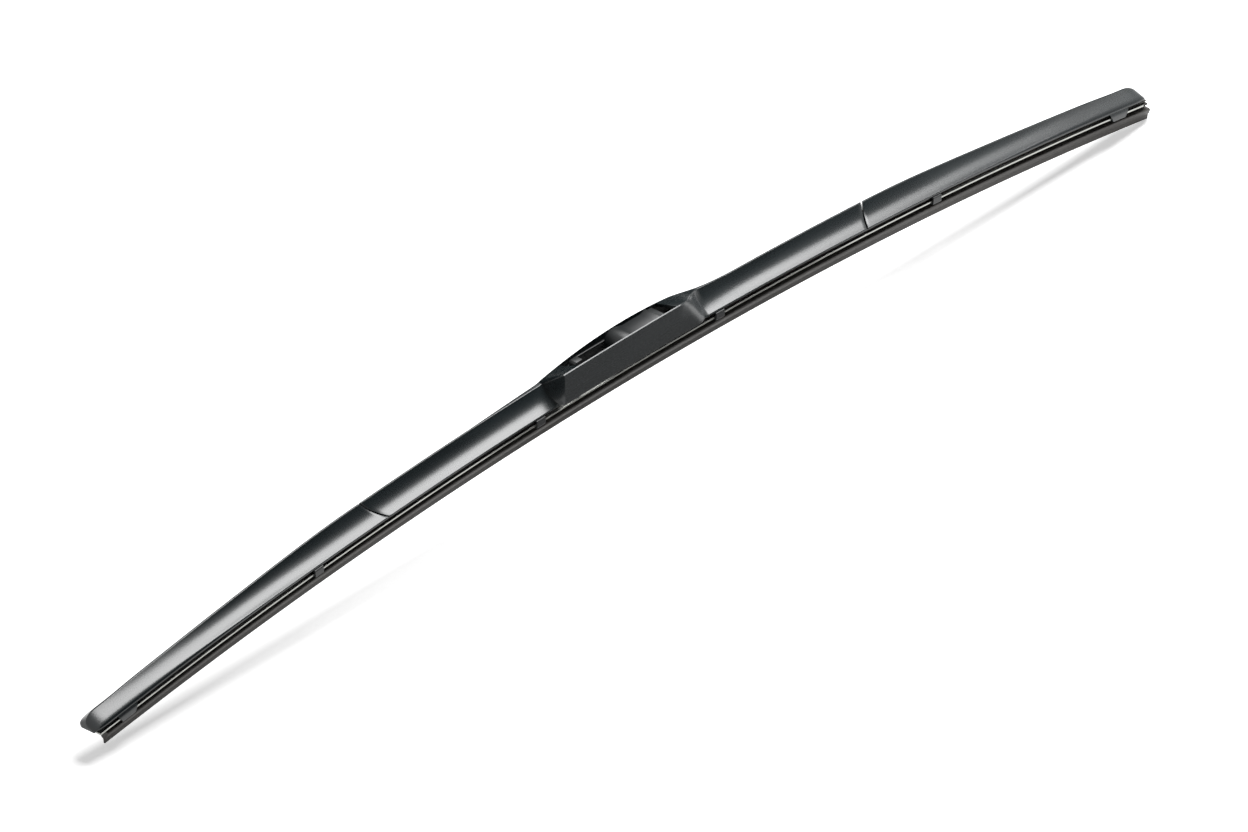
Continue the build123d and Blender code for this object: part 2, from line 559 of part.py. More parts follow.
# Hook adapter: a block with a round nose, a snap seat for the pin and a springy latch
adapter_front_y = bay_middle_y - HOOK_WIDTH / 2
nose_run = NOSE_R + 0.4
latch_middle = ADAPTER_TAIL - TAIL_CHAMFER - LATCH_LENGTH / 2
with BuildPart() as hook_adapter:
    with BuildSketch(Plane.XZ.offset(-adapter_front_y)) as side_view:
        Circle(NOSE_R)
        with BuildLine():
            Polyline((0, NOSE_R), (nose_run, ADAPTER_R), (ADAPTER_TAIL - TAIL_CHAMFER, ADAPTER_R),
                     (ADAPTER_TAIL, ADAPTER_R - TAIL_CHAMFER), (ADAPTER_TAIL, -ADAPTER_R + HEEL_CHAMFER),
                     (ADAPTER_TAIL - HEEL_CHAMFER, -ADAPTER_R), (nose_run, -ADAPTER_R), (0, -NOSE_R),
                     close=True)
        make_face()
        Circle(HOOK_PIN_R + RUNNING_FIT, mode=Mode.SUBTRACT)
        with Locations((0, -NOSE_R)):
            Rectangle(SNAP_MOUTH, 2 * (NOSE_R - 1.0), mode=Mode.SUBTRACT)
        # Slit under the latch
        with Locations((latch_middle, ADAPTER_R - LATCH_DEPTH)):
            Rectangle(LATCH_LENGTH, LATCH_SLIT, mode=Mode.SUBTRACT)
        # Bump that the hook's hole drops over
        with BuildLine():
            Polyline((latch_middle, ADAPTER_R - BUMP_ROOT),
                     (latch_middle + BUMP_LENGTH, ADAPTER_R - BUMP_ROOT),
                     (latch_middle + BUMP_LENGTH, ADAPTER_R + LATCH_BUMP),
                     (latch_middle + BUMP_SLOPE, ADAPTER_R + LATCH_BUMP), close=True)
        make_face()
    extrude(amount=-HOOK_WIDTH)
    # Lightening pockets in both flanks
    for flank_y, depth in ((adapter_front_y, -POCKET_DEPTH), (adapter_front_y + HOOK_WIDTH, POCKET_DEPTH)):
        with BuildSketch(Plane.XZ.offset(-flank_y)) as pocket:
            with Locations((latch_middle - POCKET_OFFSET, -ADAPTER_R / 3)):
                RectangleRounded(LATCH_LENGTH - 1.0, ADAPTER_R - POCKET_CORNER, POCKET_CORNER)
        extrude(amount=depth, mode=Mode.SUBTRACT)
hook_adapter.part.label = "hook_adapter"
export_step(hook_adapter.part, "parts/hook_adapter.step")

# Rubber squeegee: lip, shoulders, neck and slotted head
half = [(LIP_HALF, 0.0), (LIP_HALF, LIP_HEIGHT), (LIP_HALF + 0.65, LIP_HEIGHT + 0.5),
        (SHOULDER_HALF, SHOULDER_TOP - 0.8), (SHOULDER_HALF, SHOULDER_TOP - 0.2),
        (SHOULDER_HALF - 0.3, SHOULDER_TOP), (NECK_HALF, SHOULDER_TOP + 0.2), (NECK_HALF, NECK_TOP),
        (HEAD_HALF, NECK_TOP + 0.1), (HEAD_HALF, STRIP_BOTTOM - SLOT_FIT),
        (STRIP_INNER - SLOT_FIT, STRIP_BOTTOM - SLOT_FIT), (STRIP_INNER - SLOT_FIT, STRIP_TOP + SLOT_FIT),
        (HEAD_HALF, STRIP_TOP + SLOT_FIT), (HEAD_HALF, HEAD_TOP - 0.2),
        (HEAD_HALF - 0.2, HEAD_TOP)]
squeegee = half + [(-y, h) for y, h in reversed(half)]
right_end = RUBBER_SHIFT + RUBBER_HALF
with BuildPart() as wiper_rubber:
    revolve(outline(RUBBER_SHIFT - RUBBER_HALF, squeegee).faces(), axis=BOW_AXIS,
            revolution_arc=arc_between(0, 2 * RUBBER_HALF))
    # Slanted cut at the right end, so that the head ends under the nose
    end_cut = [station(NOSE_END + 0.5, HEAD_TOP + CUT_ROOM), station(right_end, LIP_HEIGHT),
               station(right_end + CUT_ROOM, LIP_HEIGHT), station(right_end + CUT_ROOM, HEAD_TOP + CUT_ROOM)]
    with BuildSketch(Plane.XZ) as slant:
        with BuildLine():
            Polyline(*[(x, z) for x, y, z in end_cut], close=True)
        make_face()
    extrude(amount=SHOULDER_HALF + CUT_ROOM, both=True, mode=Mode.SUBTRACT)
wiper_rubber.part.label = "wiper_rubber"
export_step(wiper_rubber.part, "parts/wiper_rubber.step")

# Spring strips in the side slots of the rubber's head
strip_half = NOSE_END - STRIP_END_INSET
with BuildPart() as front_strip:
    revolve(bar(-strip_half, (-STRIP_HALF, STRIP_BOTTOM), (-STRIP_INNER, STRIP_TOP)).faces(),
            axis=BOW_AXIS, revolution_arc=arc_between(0, 2 * strip_half))
front_strip.part.label = "front_strip"
export_step(front_strip.part, "parts/front_strip.step")

with BuildPart() as rear_strip:
    mirror(front_strip.part, about=Plane.XZ)
rear_strip.part.label = "rear_strip"
export_step(rear_strip.part, "parts/rear_strip.step")
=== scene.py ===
from math import atan2, cos, pi, radians, sin

import bmesh
import bpy
from mathutils import Matrix, Vector


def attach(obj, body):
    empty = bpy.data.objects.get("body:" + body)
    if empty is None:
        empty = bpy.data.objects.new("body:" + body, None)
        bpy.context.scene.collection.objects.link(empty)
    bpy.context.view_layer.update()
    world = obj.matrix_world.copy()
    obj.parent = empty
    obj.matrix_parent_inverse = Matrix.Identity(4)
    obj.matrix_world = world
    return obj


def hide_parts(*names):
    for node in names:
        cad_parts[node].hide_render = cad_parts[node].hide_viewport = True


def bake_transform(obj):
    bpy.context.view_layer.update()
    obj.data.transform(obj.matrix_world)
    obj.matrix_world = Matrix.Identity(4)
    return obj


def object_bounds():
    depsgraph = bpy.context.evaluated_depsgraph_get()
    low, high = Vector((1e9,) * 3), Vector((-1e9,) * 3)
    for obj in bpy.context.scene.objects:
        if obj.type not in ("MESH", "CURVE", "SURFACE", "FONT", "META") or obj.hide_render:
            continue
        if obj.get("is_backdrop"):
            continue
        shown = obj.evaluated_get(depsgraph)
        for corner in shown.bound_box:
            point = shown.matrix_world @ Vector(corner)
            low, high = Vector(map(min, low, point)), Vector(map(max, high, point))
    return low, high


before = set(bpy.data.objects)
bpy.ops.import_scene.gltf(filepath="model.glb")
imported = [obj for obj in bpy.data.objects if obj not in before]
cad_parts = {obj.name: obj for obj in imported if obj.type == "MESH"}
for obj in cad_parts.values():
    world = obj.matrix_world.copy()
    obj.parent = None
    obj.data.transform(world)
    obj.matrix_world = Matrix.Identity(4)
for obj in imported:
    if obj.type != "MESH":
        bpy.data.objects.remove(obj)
cad_low, cad_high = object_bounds()

# RUBBER SQUEEGEE
# The wiping element: one extruded length of graphite-dusted natural rubber, with a thin lip,
# two shoulders, a narrow neck that lets the lip flip over, and a head slotted for the strips.
# It follows the bow of the unloaded blade, and is cut where the claws of the yokes hold it.
MM = 0.001
BOW_RADIUS = 2250 * MM
PIN_HEIGHT = 19.5 * MM
RUBBER_HALF = 325 * MM
RUBBER_SHIFT = 7 * MM
INNER_CLAW = 55.3 * MM
RUBBER_TONGUE = 1 * MM
OUTER_CLAW = 191 * MM
TIP_CLAW = 307 * MM
STRIP_BOTTOM = 9.45
STRIP_TOP = 10.25
RUBBER_STEP = 4 * MM
HEAD_END = 326 * MM
SLANT_LENGTH = 12 * MM
SLANT_TOP = 11.9 * MM
SLANT_RISE = 9.7 * MM
SLOT_FIT = 0.05
TONGUE_WIDTH_SHARE = 0.97
TONGUE_HEIGHT_SHARE = 0.99
TONGUE_LIFT = 0.05
TONGUE_TOP_HALF = 2.5
TONGUE_ROOM = 0.3


def linear(code):
    """Linear colour of an sRGB hex value."""
    parts = [int(code[i:i + 2], 16) / 255 for i in (1, 3, 5)]
    return [c / 12.92 if c < 0.04045 else ((c + 0.055) / 1.055) ** 2.4 for c in parts] + [1.0]


def add(tree, kind, links=None, **settings):
    """One node with its settings, its inputs linked to sockets or set to values."""
    node = tree.nodes.new(kind)
    for name, value in settings.items():
        setattr(node, name, value)
    for socket, value in (links or {}).items():
        if isinstance(value, bpy.types.NodeSocket):
            tree.links.new(value, node.inputs[socket])
        else:
            node.inputs[socket].default_value = value
    return node


def new_material(name, **sockets):
    """Empty material with a principled shader, and its tree."""
    material = bpy.data.materials.new(name)
    material.use_nodes = True
    tree = material.node_tree
    tree.nodes.clear()
    shader = add(tree, "ShaderNodeBsdfPrincipled", {k.replace("_", " "): v for k, v in sockets.items()})
    add(tree, "ShaderNodeOutputMaterial", {"Surface": shader.outputs[0]})
    return material, tree, shader


def place(s, h, y=0.0):
    """Point at distance s along the bow, at height h above the lip."""
    turn = s / BOW_RADIUS
    return Vector(((BOW_RADIUS + h) * sin(turn), y, (BOW_RADIUS + h) * cos(turn) - BOW_RADIUS - PIN_HEIGHT))


def along_bow(point):
    """Distance along the bow and height above the lip of a point."""
    up = point.z + BOW_RADIUS + PIN_HEIGHT
    return atan2(point.x, up) * BOW_RADIUS, (point.x ** 2 + up ** 2) ** 0.5 - BOW_RADIUS


def rounded(corners, steps=4):
    """Outline in mm as (across, up, radius) corners, its corners rounded, in metres."""
    line = []
    count = len(corners)
    for i, (across, up, radius) in enumerate(corners):
        here = Vector((across, up))
        if radius == 0:
            line.append(here * MM)
            continue
        before = Vector(corners[i - 1][:2]) - here
        after = Vector(corners[(i + 1) % count][:2]) - here
        reach = min(radius, 0.3 * before.length, 0.3 * after.length)
        line.append((here + before.normalized() * reach * 1.5) * MM)
        for k in range(steps + 1):
            t = k / steps
            start = here + before.normalized() * reach
            end = here + after.normalized() * reach
            line.append(((1 - t) ** 2 * start + 2 * t * (1 - t) * here + t * t * end) * MM)
        line.append((here + after.normalized() * reach * 1.5) * MM)
    return line


# The section is swept along a straight path and then laid on the bow
bow = bpy.data.node_groups.new("section along the bow", "GeometryNodeTree")
bow.interface.new_socket("Geometry", in_out="INPUT", socket_type="NodeSocketGeometry")
for socket_name, socket_kind in (("Start", "Float"), ("End", "Float"), ("Steps", "Int"),
                                 ("Bow radius", "Float"), ("Pin height", "Float"), ("Material", "Material")):
    bow.interface.new_socket(socket_name, in_out="INPUT", socket_type="NodeSocket" + socket_kind)
bow.interface.new_socket("Geometry", in_out="OUTPUT", socket_type="NodeSocketGeometry")
given = add(bow, "NodeGroupInput").outputs
section = add(bow, "GeometryNodeMeshToCurve", {"Mesh": given["Geometry"]})
path_start = add(bow, "ShaderNodeCombineXYZ", {"X": given["Start"]})
path_end = add(bow, "ShaderNodeCombineXYZ", {"X": given["End"]})
path = add(bow, "GeometryNodeCurvePrimitiveLine",
           {"Start": path_start.outputs[0], "End": path_end.outputs[0]})
path = add(bow, "GeometryNodeResampleCurve", {"Curve": path.outputs[0], "Count": given["Steps"]})
swept = add(bow, "GeometryNodeCurveToMesh",
            {"Curve": path.outputs[0], "Profile Curve": section.outputs[0], "Fill Caps": True})
spot = add(bow, "ShaderNodeSeparateXYZ", {0: add(bow, "GeometryNodeInputPosition").outputs[0]}).outputs
turn = add(bow, "ShaderNodeMath", {0: spot["X"], 1: given["Bow radius"]}, operation="DIVIDE").outputs[0]
reach = add(bow, "ShaderNodeMath", {0: given["Bow radius"], 1: spot["Z"]}, operation="SUBTRACT").outputs[0]
sine = add(bow, "ShaderNodeMath", {0: turn}, operation="SINE").outputs[0]
cosine = add(bow, "ShaderNodeMath", {0: turn}, operation="COSINE").outputs[0]
along = add(bow, "ShaderNodeMath", {0: reach, 1: sine}, operation="MULTIPLY").outputs[0]
across = add(bow, "ShaderNodeMath", {0: spot["Y"], 1: -1.0}, operation="MULTIPLY").outputs[0]
rise = add(bow, "ShaderNodeMath", {0: reach, 1: cosine}, operation="MULTIPLY").outputs[0]
level = add(bow, "ShaderNodeMath", {0: given["Bow radius"], 1: given["Pin height"]}).outputs[0]
height = add(bow, "ShaderNodeMath", {0: rise, 1: level}, operation="SUBTRACT").outputs[0]
bent_spot = add(bow, "ShaderNodeCombineXYZ", {"X": along, "Y": across, "Z": height}).outputs[0]
laid = add(bow, "GeometryNodeSetPosition", {"Geometry": swept.outputs[0], "Position": bent_spot})
real = add(bow, "GeometryNodeRealizeInstances", {"Geometry": laid.outputs[0]})
painted = add(bow, "GeometryNodeSetMaterial", {"Geometry": real.outputs[0], "Material": given["Material"]})
add(bow, "NodeGroupOutput", {"Geometry": painted.outputs[0]})
bow_inputs = {item.name: item.identifier for item in bow.interface.items_tree if item.in_out == "INPUT"}


def bowed(outline, start, end, material, step=RUBBER_STEP):
    """Mesh of an outline swept along the bow from start to end."""
    mesh = bpy.data.meshes.new("outline")
    mesh.from_pydata([(p[0], p[1], 0) for p in outline],
                     [(i, (i + 1) % len(outline)) for i in range(len(outline))], [])
    holder = bpy.data.objects.new("outline", mesh)
    bpy.context.scene.collection.objects.link(holder)
    sweep = holder.modifiers.new("bow", "NODES")
    sweep.node_group = bow
    values = {"Start": start, "End": end, "Steps": max(2, round((end - start) / step) + 1),
              "Bow radius": BOW_RADIUS, "Pin height": PIN_HEIGHT, "Material": material}
    for name, value in values.items():
        sweep[bow_inputs[name]] = value
    made = bpy.data.meshes.new_from_object(holder.evaluated_get(bpy.context.evaluated_depsgraph_get()))
    bpy.data.objects.remove(holder)
    return made


def piece(name, meshes, material, sharp=32):
    """One object of several meshes turned outwards, smooth up to the sharp angle, at the origin."""
    shape = bmesh.new()
    for mesh in meshes:
        first = len(shape.faces)
        shape.from_mesh(mesh)
        shape.faces.ensure_lookup_table()
        faces = shape.faces[first:]
        corner = faces[0].verts[0].co
        volume = sum((v[0].co - corner).dot((v[i].co - corner).cross(v[i + 1].co - corner))
                     for v in (face.verts for face in faces) for i in range(1, len(v) - 1))
        if volume < 0:
            bmesh.ops.reverse_faces(shape, faces=faces)
    made = bpy.data.meshes.new(name)
    shape.to_mesh(made)
    shape.free()
    made.materials.clear()
    made.materials.append(material)
    for face in made.polygons:
        face.use_smooth = True
        face.material_index = 0
    made.set_sharp_from_angle(angle=radians(sharp))
    thing = bpy.data.objects.new(name, made)
    bpy.context.scene.collection.objects.link(thing)
    return thing


# Natural rubber, extruded and dusted with graphite: a soft warm grey with faint streaks along
# the extrusion, darker where the dust has rubbed off
rubber, tree, shader = new_material("natural_rubber_graphited", IOR=1.52)
where = add(tree, "ShaderNodeTexCoord").outputs["Object"]
# Streaks about 25 mm long and 0.5 mm high
stretch = add(tree, "ShaderNodeMapping", {"Vector": where, "Scale": (40, 2000, 2000)})
streak = add(tree, "ShaderNodeTexNoise", {"Vector": stretch.outputs[0], "Scale": 1.0, "Detail": 3.0})
# Dust in grains of about 0.3 mm
dust = add(tree, "ShaderNodeTexNoise", {"Vector": where, "Scale": 1 / (0.3 * MM), "Detail": 2.0})
mix = add(tree, "ShaderNodeMath", {0: streak.outputs[0], 1: dust.outputs[0]}, operation="MULTIPLY_ADD")
mix.inputs[2].default_value = 0.1
colour = add(tree, "ShaderNodeValToRGB", {"Fac": mix.outputs[0]})
colour.color_ramp.elements[0].position = 0.2
colour.color_ramp.elements[0].color = linear("#272522")
colour.color_ramp.elements[1].position = 0.6
colour.color_ramp.elements[1].color = linear("#3e3b37")
matt = add(tree, "ShaderNodeMapRange", {"Value": dust.outputs[0], "To Min": 0.5, "To Max": 0.72})
bump = add(tree, "ShaderNodeBump", {"Height": mix.outputs[0], "Strength": 0.25, "Distance": 0.03 * MM})
tree.links.new(colour.outputs[0], shader.inputs["Base Color"])
tree.links.new(matt.outputs[0], shader.inputs["Roughness"])
tree.links.new(bump.outputs[0], shader.inputs["Normal"])

rubber_half = [(0.35, 0, 0.05), (0.35, 2.2, 0.2), (1.0, 2.7, 0.3), (2.9, 5.6, 0.35), (2.9, 6.2, 0.15),
               (2.6, 6.4, 0.15), (0.6, 6.6, 0.15), (0.6, 8.2, 0.15), (2.6, 8.3, 0.2),
               (2.6, STRIP_BOTTOM - SLOT_FIT, 0.1), (1.35, STRIP_BOTTOM - SLOT_FIT, 0.1),
               (1.35, STRIP_TOP + SLOT_FIT, 0.1), (2.6, STRIP_TOP + SLOT_FIT, 0.1), (2.6, 10.7, 0.1),
               (2.4, 10.9, 0.1)]
rubber_outline = rounded(rubber_half + [(-y, h, r) for y, h, r in reversed(rubber_half)])
# The middle length lies between the inner claws, with a short tongue below the strips at each end
# that fills the joint when a yoke turns, and the outer lengths run on to the tips
below_strips = rubber_half[:9]
tongue_half = [(y * TONGUE_WIDTH_SHARE, h * TONGUE_HEIGHT_SHARE + TONGUE_LIFT, r) for y, h, r in below_strips]
tongue_half.append((TONGUE_TOP_HALF, STRIP_BOTTOM - TONGUE_ROOM, 0.1))
tongue_outline = rounded(tongue_half + [(-y, h, r) for y, h, r in reversed(tongue_half)])
middle_lengths = [bowed(rubber_outline, -INNER_CLAW, INNER_CLAW, rubber)]
for claw in (-INNER_CLAW, INNER_CLAW):
    middle_lengths.append(bowed(tongue_outline, claw - RUBBER_TONGUE, claw + RUBBER_TONGUE, rubber))
rubber_middle = piece("rubber_middle", middle_lengths, rubber)
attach(rubber_middle, "wiping_element")
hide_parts("wiper_rubber")
for side, start, end in (("left", RUBBER_SHIFT - RUBBER_HALF, -INNER_CLAW),
                         ("right", INNER_CLAW, RUBBER_SHIFT + RUBBER_HALF)):
    sign = -1 if side == "left" else 1
    length = bowed(rubber_outline, start, end, rubber)
    if side == "right":
        # Cut on a slant, so that the head ends under the nose
        for vertex in length.vertices:
            s, h = along_bow(vertex.co)
            s_end = HEAD_END + (end - HEAD_END) * min((SLANT_TOP - h) / SLANT_RISE, 1.0)
            if s > end - SLANT_LENGTH:
                slant_start = end - SLANT_LENGTH
                share = (s_end - slant_start) / SLANT_LENGTH
                vertex.co = place(slant_start + (s - slant_start) * share, h, vertex.co.y)
    rubber_end = piece("rubber_" + side, [length], rubber)
    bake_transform(rubber_end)

# SPRING STRIPS
# Two flat strips of rolled spring steel lie in the side slots of the rubber's head. They press
# the rubber to the glass along its length, and the claws of the yokes slide on their edges.
STRIP_HALF = 4.2
STRIP_INNER = 1.4
STRIP_END = 323.3 * MM

# Spring steel, cold rolled and tempered: a plain grey metal with fine lines along the strip
spring_steel, tree, shader = new_material("spring_steel_rolled", Metallic=1.0)
where = add(tree, "ShaderNodeTexCoord").outputs["Object"]
# Rolling lines 0.15 mm apart and about 30 mm long
stretch = add(tree, "ShaderNodeMapping", {"Vector": where, "Scale": (33, 6600, 6600)})
lines = add(tree, "ShaderNodeTexNoise", {"Vector": stretch.outputs[0], "Scale": 1.0, "Detail": 4.0})
colour = add(tree, "ShaderNodeValToRGB", {"Fac": lines.outputs[0]})
colour.color_ramp.elements[0].position = 0.3
colour.color_ramp.elements[0].color = linear("#868783")
colour.color_ramp.elements[1].position = 0.7
colour.color_ramp.elements[1].color = linear("#b0b1ac")
polish = add(tree, "ShaderNodeMapRange", {"Value": lines.outputs[0], "To Min": 0.24, "To Max": 0.4})
bump = add(tree, "ShaderNodeBump", {"Height": lines.outputs[0], "Strength": 0.15, "Distance": 0.01 * MM})
tree.links.new(colour.outputs[0], shader.inputs["Base Color"])
tree.links.new(polish.outputs[0], shader.inputs["Roughness"])
tree.links.new(bump.outputs[0], shader.inputs["Normal"])

for face, node, inner, outer in (("front", "front_strip", -STRIP_INNER, -STRIP_HALF),
                                 ("rear", "rear_strip", STRIP_INNER, STRIP_HALF)):
    low, high = min(inner, outer), max(inner, outer)
    strip_outline = rounded([(low, STRIP_BOTTOM, 0.12), (high, STRIP_BOTTOM, 0.12),
                             (high, STRIP_TOP, 0.12), (low, STRIP_TOP, 0.12)])
    middle = piece(face + "_strip_middle", [bowed(strip_outline, -INNER_CLAW, INNER_CLAW, spring_steel)],
                   spring_steel)
    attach(middle, "wiping_element")
    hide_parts(node)
    for side, start, end in (("left", -STRIP_END, -INNER_CLAW), ("right", INNER_CLAW, STRIP_END)):
        sign = -1 if side == "left" else 1
        strip = piece(face + "_strip_" + side, [bowed(strip_outline, start, end, spring_steel)], spring_steel)
        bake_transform(strip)

# YOKES
# Each yoke is a bar pressed from black coated steel, with a claw at each end that hooks round
# both strips, a stiffening flange, and two cheeks that hold the pin of the end lever's tongue.
PLATE = 0.8
FLANGE_RISE = 1.0
YOKE_BOTTOM = 11.2
YOKE_TOP = 12.0
YOKE_HALF = 3.6
CLAW_LENGTH = 5 * MM
CLAW_INNER = 4.3
CLAW_OUTER = 5.1
FINGER_TOP = 9.35
FINGER_BOTTOM = 8.55
FINGER_REACH = 3.0
YOKE_PIVOT = (INNER_CLAW + OUTER_CLAW) / 2
LEVER_PIVOT = 150 * MM
YOKE_PIN_HEIGHT = 12.8
CHEEK_FRONT_Y = 2.45
CHEEK_REAR_Y = 4.65
CHEEK_HALF = 1.3 * MM
SEAT_HALF = 8 * MM
FLANGE_INSET = 12 * MM

# Steel with a black electrocoat: an even satin film, slightly pebbled
coated_steel, tree, shader = new_material("steel_black_coated", IOR=1.5)
where = add(tree, "ShaderNodeTexCoord").outputs["Object"]
# Pebbles of the coat, 0.4 mm across
pebble = add(tree, "ShaderNodeTexNoise", {"Vector": where, "Scale": 1 / (0.4 * MM), "Detail": 2.0})
colour = add(tree, "ShaderNodeValToRGB", {"Fac": pebble.outputs[0]})
colour.color_ramp.elements[0].color = linear("#101213")
colour.color_ramp.elements[1].color = linear("#191c1d")
satin = add(tree, "ShaderNodeMapRange", {"Value": pebble.outputs[0], "To Min": 0.38, "To Max": 0.52})
bump = add(tree, "ShaderNodeBump", {"Height": pebble.outputs[0], "Strength": 0.3, "Distance": 0.02 * MM})
tree.links.new(colour.outputs[0], shader.inputs["Base Color"])
tree.links.new(satin.outputs[0], shader.inputs["Roughness"])
tree.links.new(bump.outputs[0], shader.inputs["Normal"])


def bar_outline(low_y, low_h, high_y, high_h, radius=0.15):
    """Rounded outline of a plain bar."""
    return rounded([(low_y, low_h, radius), (high_y, low_h, radius), (high_y, high_h, radius),
                    (low_y, high_h, radius)])


def plate(outline, front_y, rear_y):
    """Mesh of an outline in the X-Z plane, thick from front_y to rear_y."""
    shape = bmesh.new()
    front = [shape.verts.new((x, front_y, z)) for x, z in outline]
    rear = [shape.verts.new((x, rear_y, z)) for x, z in outline]
    count = len(outline)
    shape.faces.new(front)
    shape.faces.new(list(reversed(rear)))
    for i in range(count):
        j = (i + 1) % count
        shape.faces.new((front[j], front[i], rear[i], rear[j]))
    bmesh.ops.recalc_face_normals(shape, faces=shape.faces)
    mesh = bpy.data.meshes.new("plate")
    shape.to_mesh(mesh)
    shape.free()
    return mesh


claw_corners = [(CLAW_OUTER, YOKE_TOP, 0.7), (-CLAW_OUTER, YOKE_TOP, 0.7), (-CLAW_OUTER, FINGER_BOTTOM, 0.6),
                (-FINGER_REACH, FINGER_BOTTOM, 0.15), (-FINGER_REACH, FINGER_TOP, 0.15),
                (-CLAW_INNER, FINGER_TOP, 0.1), (-CLAW_INNER, YOKE_BOTTOM, 0.1),
                (CLAW_INNER, YOKE_BOTTOM, 0.1), (CLAW_INNER, FINGER_TOP, 0.1),
                (FINGER_REACH, FINGER_TOP, 0.15), (FINGER_REACH, FINGER_BOTTOM, 0.15),
                (CLAW_OUTER, FINGER_BOTTOM, 0.6)]
claw_outline = rounded(claw_corners, steps=5)
for side, sign in (("left", -1), ("right", 1)):
    bent_bar = []
    for outline, near, far in (
            (claw_outline, INNER_CLAW - CLAW_LENGTH / 2, INNER_CLAW + CLAW_LENGTH / 2),
            (claw_outline, OUTER_CLAW - CLAW_LENGTH / 2, OUTER_CLAW + CLAW_LENGTH / 2),
            (bar_outline(-YOKE_HALF, YOKE_BOTTOM, YOKE_HALF, YOKE_TOP), INNER_CLAW, OUTER_CLAW),
            (bar_outline(0, YOKE_BOTTOM, CHEEK_REAR_Y + PLATE, YOKE_TOP),
             YOKE_PIVOT - SEAT_HALF, YOKE_PIVOT + SEAT_HALF),
            (bar_outline(CHEEK_FRONT_Y, YOKE_BOTTOM, CHEEK_FRONT_Y + PLATE, YOKE_TOP + FLANGE_RISE),
             INNER_CLAW + FLANGE_INSET, LEVER_PIVOT - FLANGE_INSET)):
        start, end = sorted((sign * near, sign * far))
        bent_bar.append(bowed(outline, start, end, coated_steel))
    pin = place(sign * YOKE_PIVOT, YOKE_PIN_HEIGHT * MM)
    cheek = [(pin.x + CHEEK_HALF * cos(a), pin.z + CHEEK_HALF * sin(a))
             for a in [i * pi / 12 for i in range(13)]]
    cheek += [(pin.x - CHEEK_HALF, pin.z - 2 * PLATE * MM), (pin.x + CHEEK_HALF, pin.z - 2 * PLATE * MM)]
    for front_y in (CHEEK_FRONT_Y, CHEEK_REAR_Y):
        bent_bar.append(plate(cheek, front_y * MM, (front_y + PLATE) * MM))
    yoke = piece(side + "_yoke_bar", bent_bar, coated_steel)
    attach(yoke, side + "_yoke")
    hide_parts(side + "_yoke")

# YOKE PINS, LEVER PINS AND HOOK PIN
# Straight pins of drawn steel, cut to length and pressed in. The yoke pins sit in the cheeks,
# the lever pins in the ribs of the centre lever, and the hook pin crosses the bay.

# Drawn steel: bright, with faint lines from the die
pin_steel, tree, shader = new_material("drawn_steel", Metallic=1.0)
where = add(tree, "ShaderNodeTexCoord").outputs["Object"]
# Drawing lines run along the pin, 0.1 mm apart
stretch = add(tree, "ShaderNodeMapping", {"Vector": where, "Scale": (9000, 300, 9000)})
lines = add(tree, "ShaderNodeTexNoise", {"Vector": stretch.outputs[0], "Scale": 1.0, "Detail": 2.0})
colour = add(tree, "ShaderNodeValToRGB", {"Fac": lines.outputs[0]})
colour.color_ramp.elements[0].color = linear("#94928e")
colour.color_ramp.elements[1].color = linear("#bdbbb7")
polish = add(tree, "ShaderNodeMapRange", {"Value": lines.outputs[0], "To Min": 0.2, "To Max": 0.34})
tree.links.new(colour.outputs[0], shader.inputs["Base Color"])
tree.links.new(polish.outputs[0], shader.inputs["Roughness"])


def softened(name, node, material, width, sharp=32):
    """Piece with the shape of a solid and its edges rounded."""
    shape = bmesh.new()
    shape.from_mesh(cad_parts[node].data)
    bmesh.ops.remove_doubles(shape, verts=shape.verts, dist=0.001 * MM)
    bmesh.ops.dissolve_limit(shape, angle_limit=radians(1), verts=shape.verts, edges=shape.edges)
    edges = [e for e in shape.edges if len(e.link_faces) == 2 and e.calc_face_angle(0) > radians(sharp)]
    bmesh.ops.bevel(shape, geom=edges, offset=width, segments=2, profile=0.5, affect="EDGES",
                    clamp_overlap=True)
    mesh = bpy.data.meshes.new(name)
    shape.to_mesh(mesh)
    shape.free()
    return piece(name, [mesh], material, sharp)


for node, body in (("left_yoke_pin", "left_yoke"), ("right_yoke_pin", "right_yoke"),
                   ("left_lever_pin", "centre"), ("right_lever_pin", "centre"), ("hook_pin", "centre")):
    pin = softened(node + "_turned", node, pin_steel, 0.12 * MM)
    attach(pin, body)
    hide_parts(node)

# END LEVERS
# Moulded covers of glass-filled nylon over the outer thirds. Each is a hollow fin whose concave
# face flattens towards a rounded nose, with a claw that hooks round the strips near the tip
# and a tongue that reaches past the lever pin to the yoke.
NOSE_END = 325.5 * MM
SKIRT_BOTTOM = 12.3
SKIRT = 0.6
FRONT_EDGE = 12.9
FRONT_Y = -4.4
RIDGE_FRONT_Y = 5.1
RIDGE_REAR_Y = 5.8
REAR_Y = 7.5
RIDGE_TOP = 18.9
FIN_SAG = 1.1
CAVITY_FRONT_Y = -2.3
CAVITY_ROOF = 16.7
CAVITY_RIDGE_Y = 5.2
CAVITY_REAR_Y = 6.4
CAVITY_SAG = 0.55
CAVITY_CORNER = 0.5
CAVITY_CORNER_DROP = 0.3
RIDGE_PINCH = 1.6
REAR_PINCH = 2.0
RIDGE_SOFT = 0.35
GAP_FRONT = 147.5 * MM
GAP_REAR = 156 * MM
COVER_GAP = 0.9 * MM
FACE_POINTS = 12
TIP_CLAW_HALF = 6 * MM
TIP_CLAW_NARROWING = 0.38
GROOVE_DEPTH = 0.05
TONGUE_ROOT = LEVER_PIVOT + 22 * MM
TONGUE_SHOULDER = LEVER_PIVOT - 6 * MM
TONGUE_END = YOKE_PIVOT - 2.2 * MM
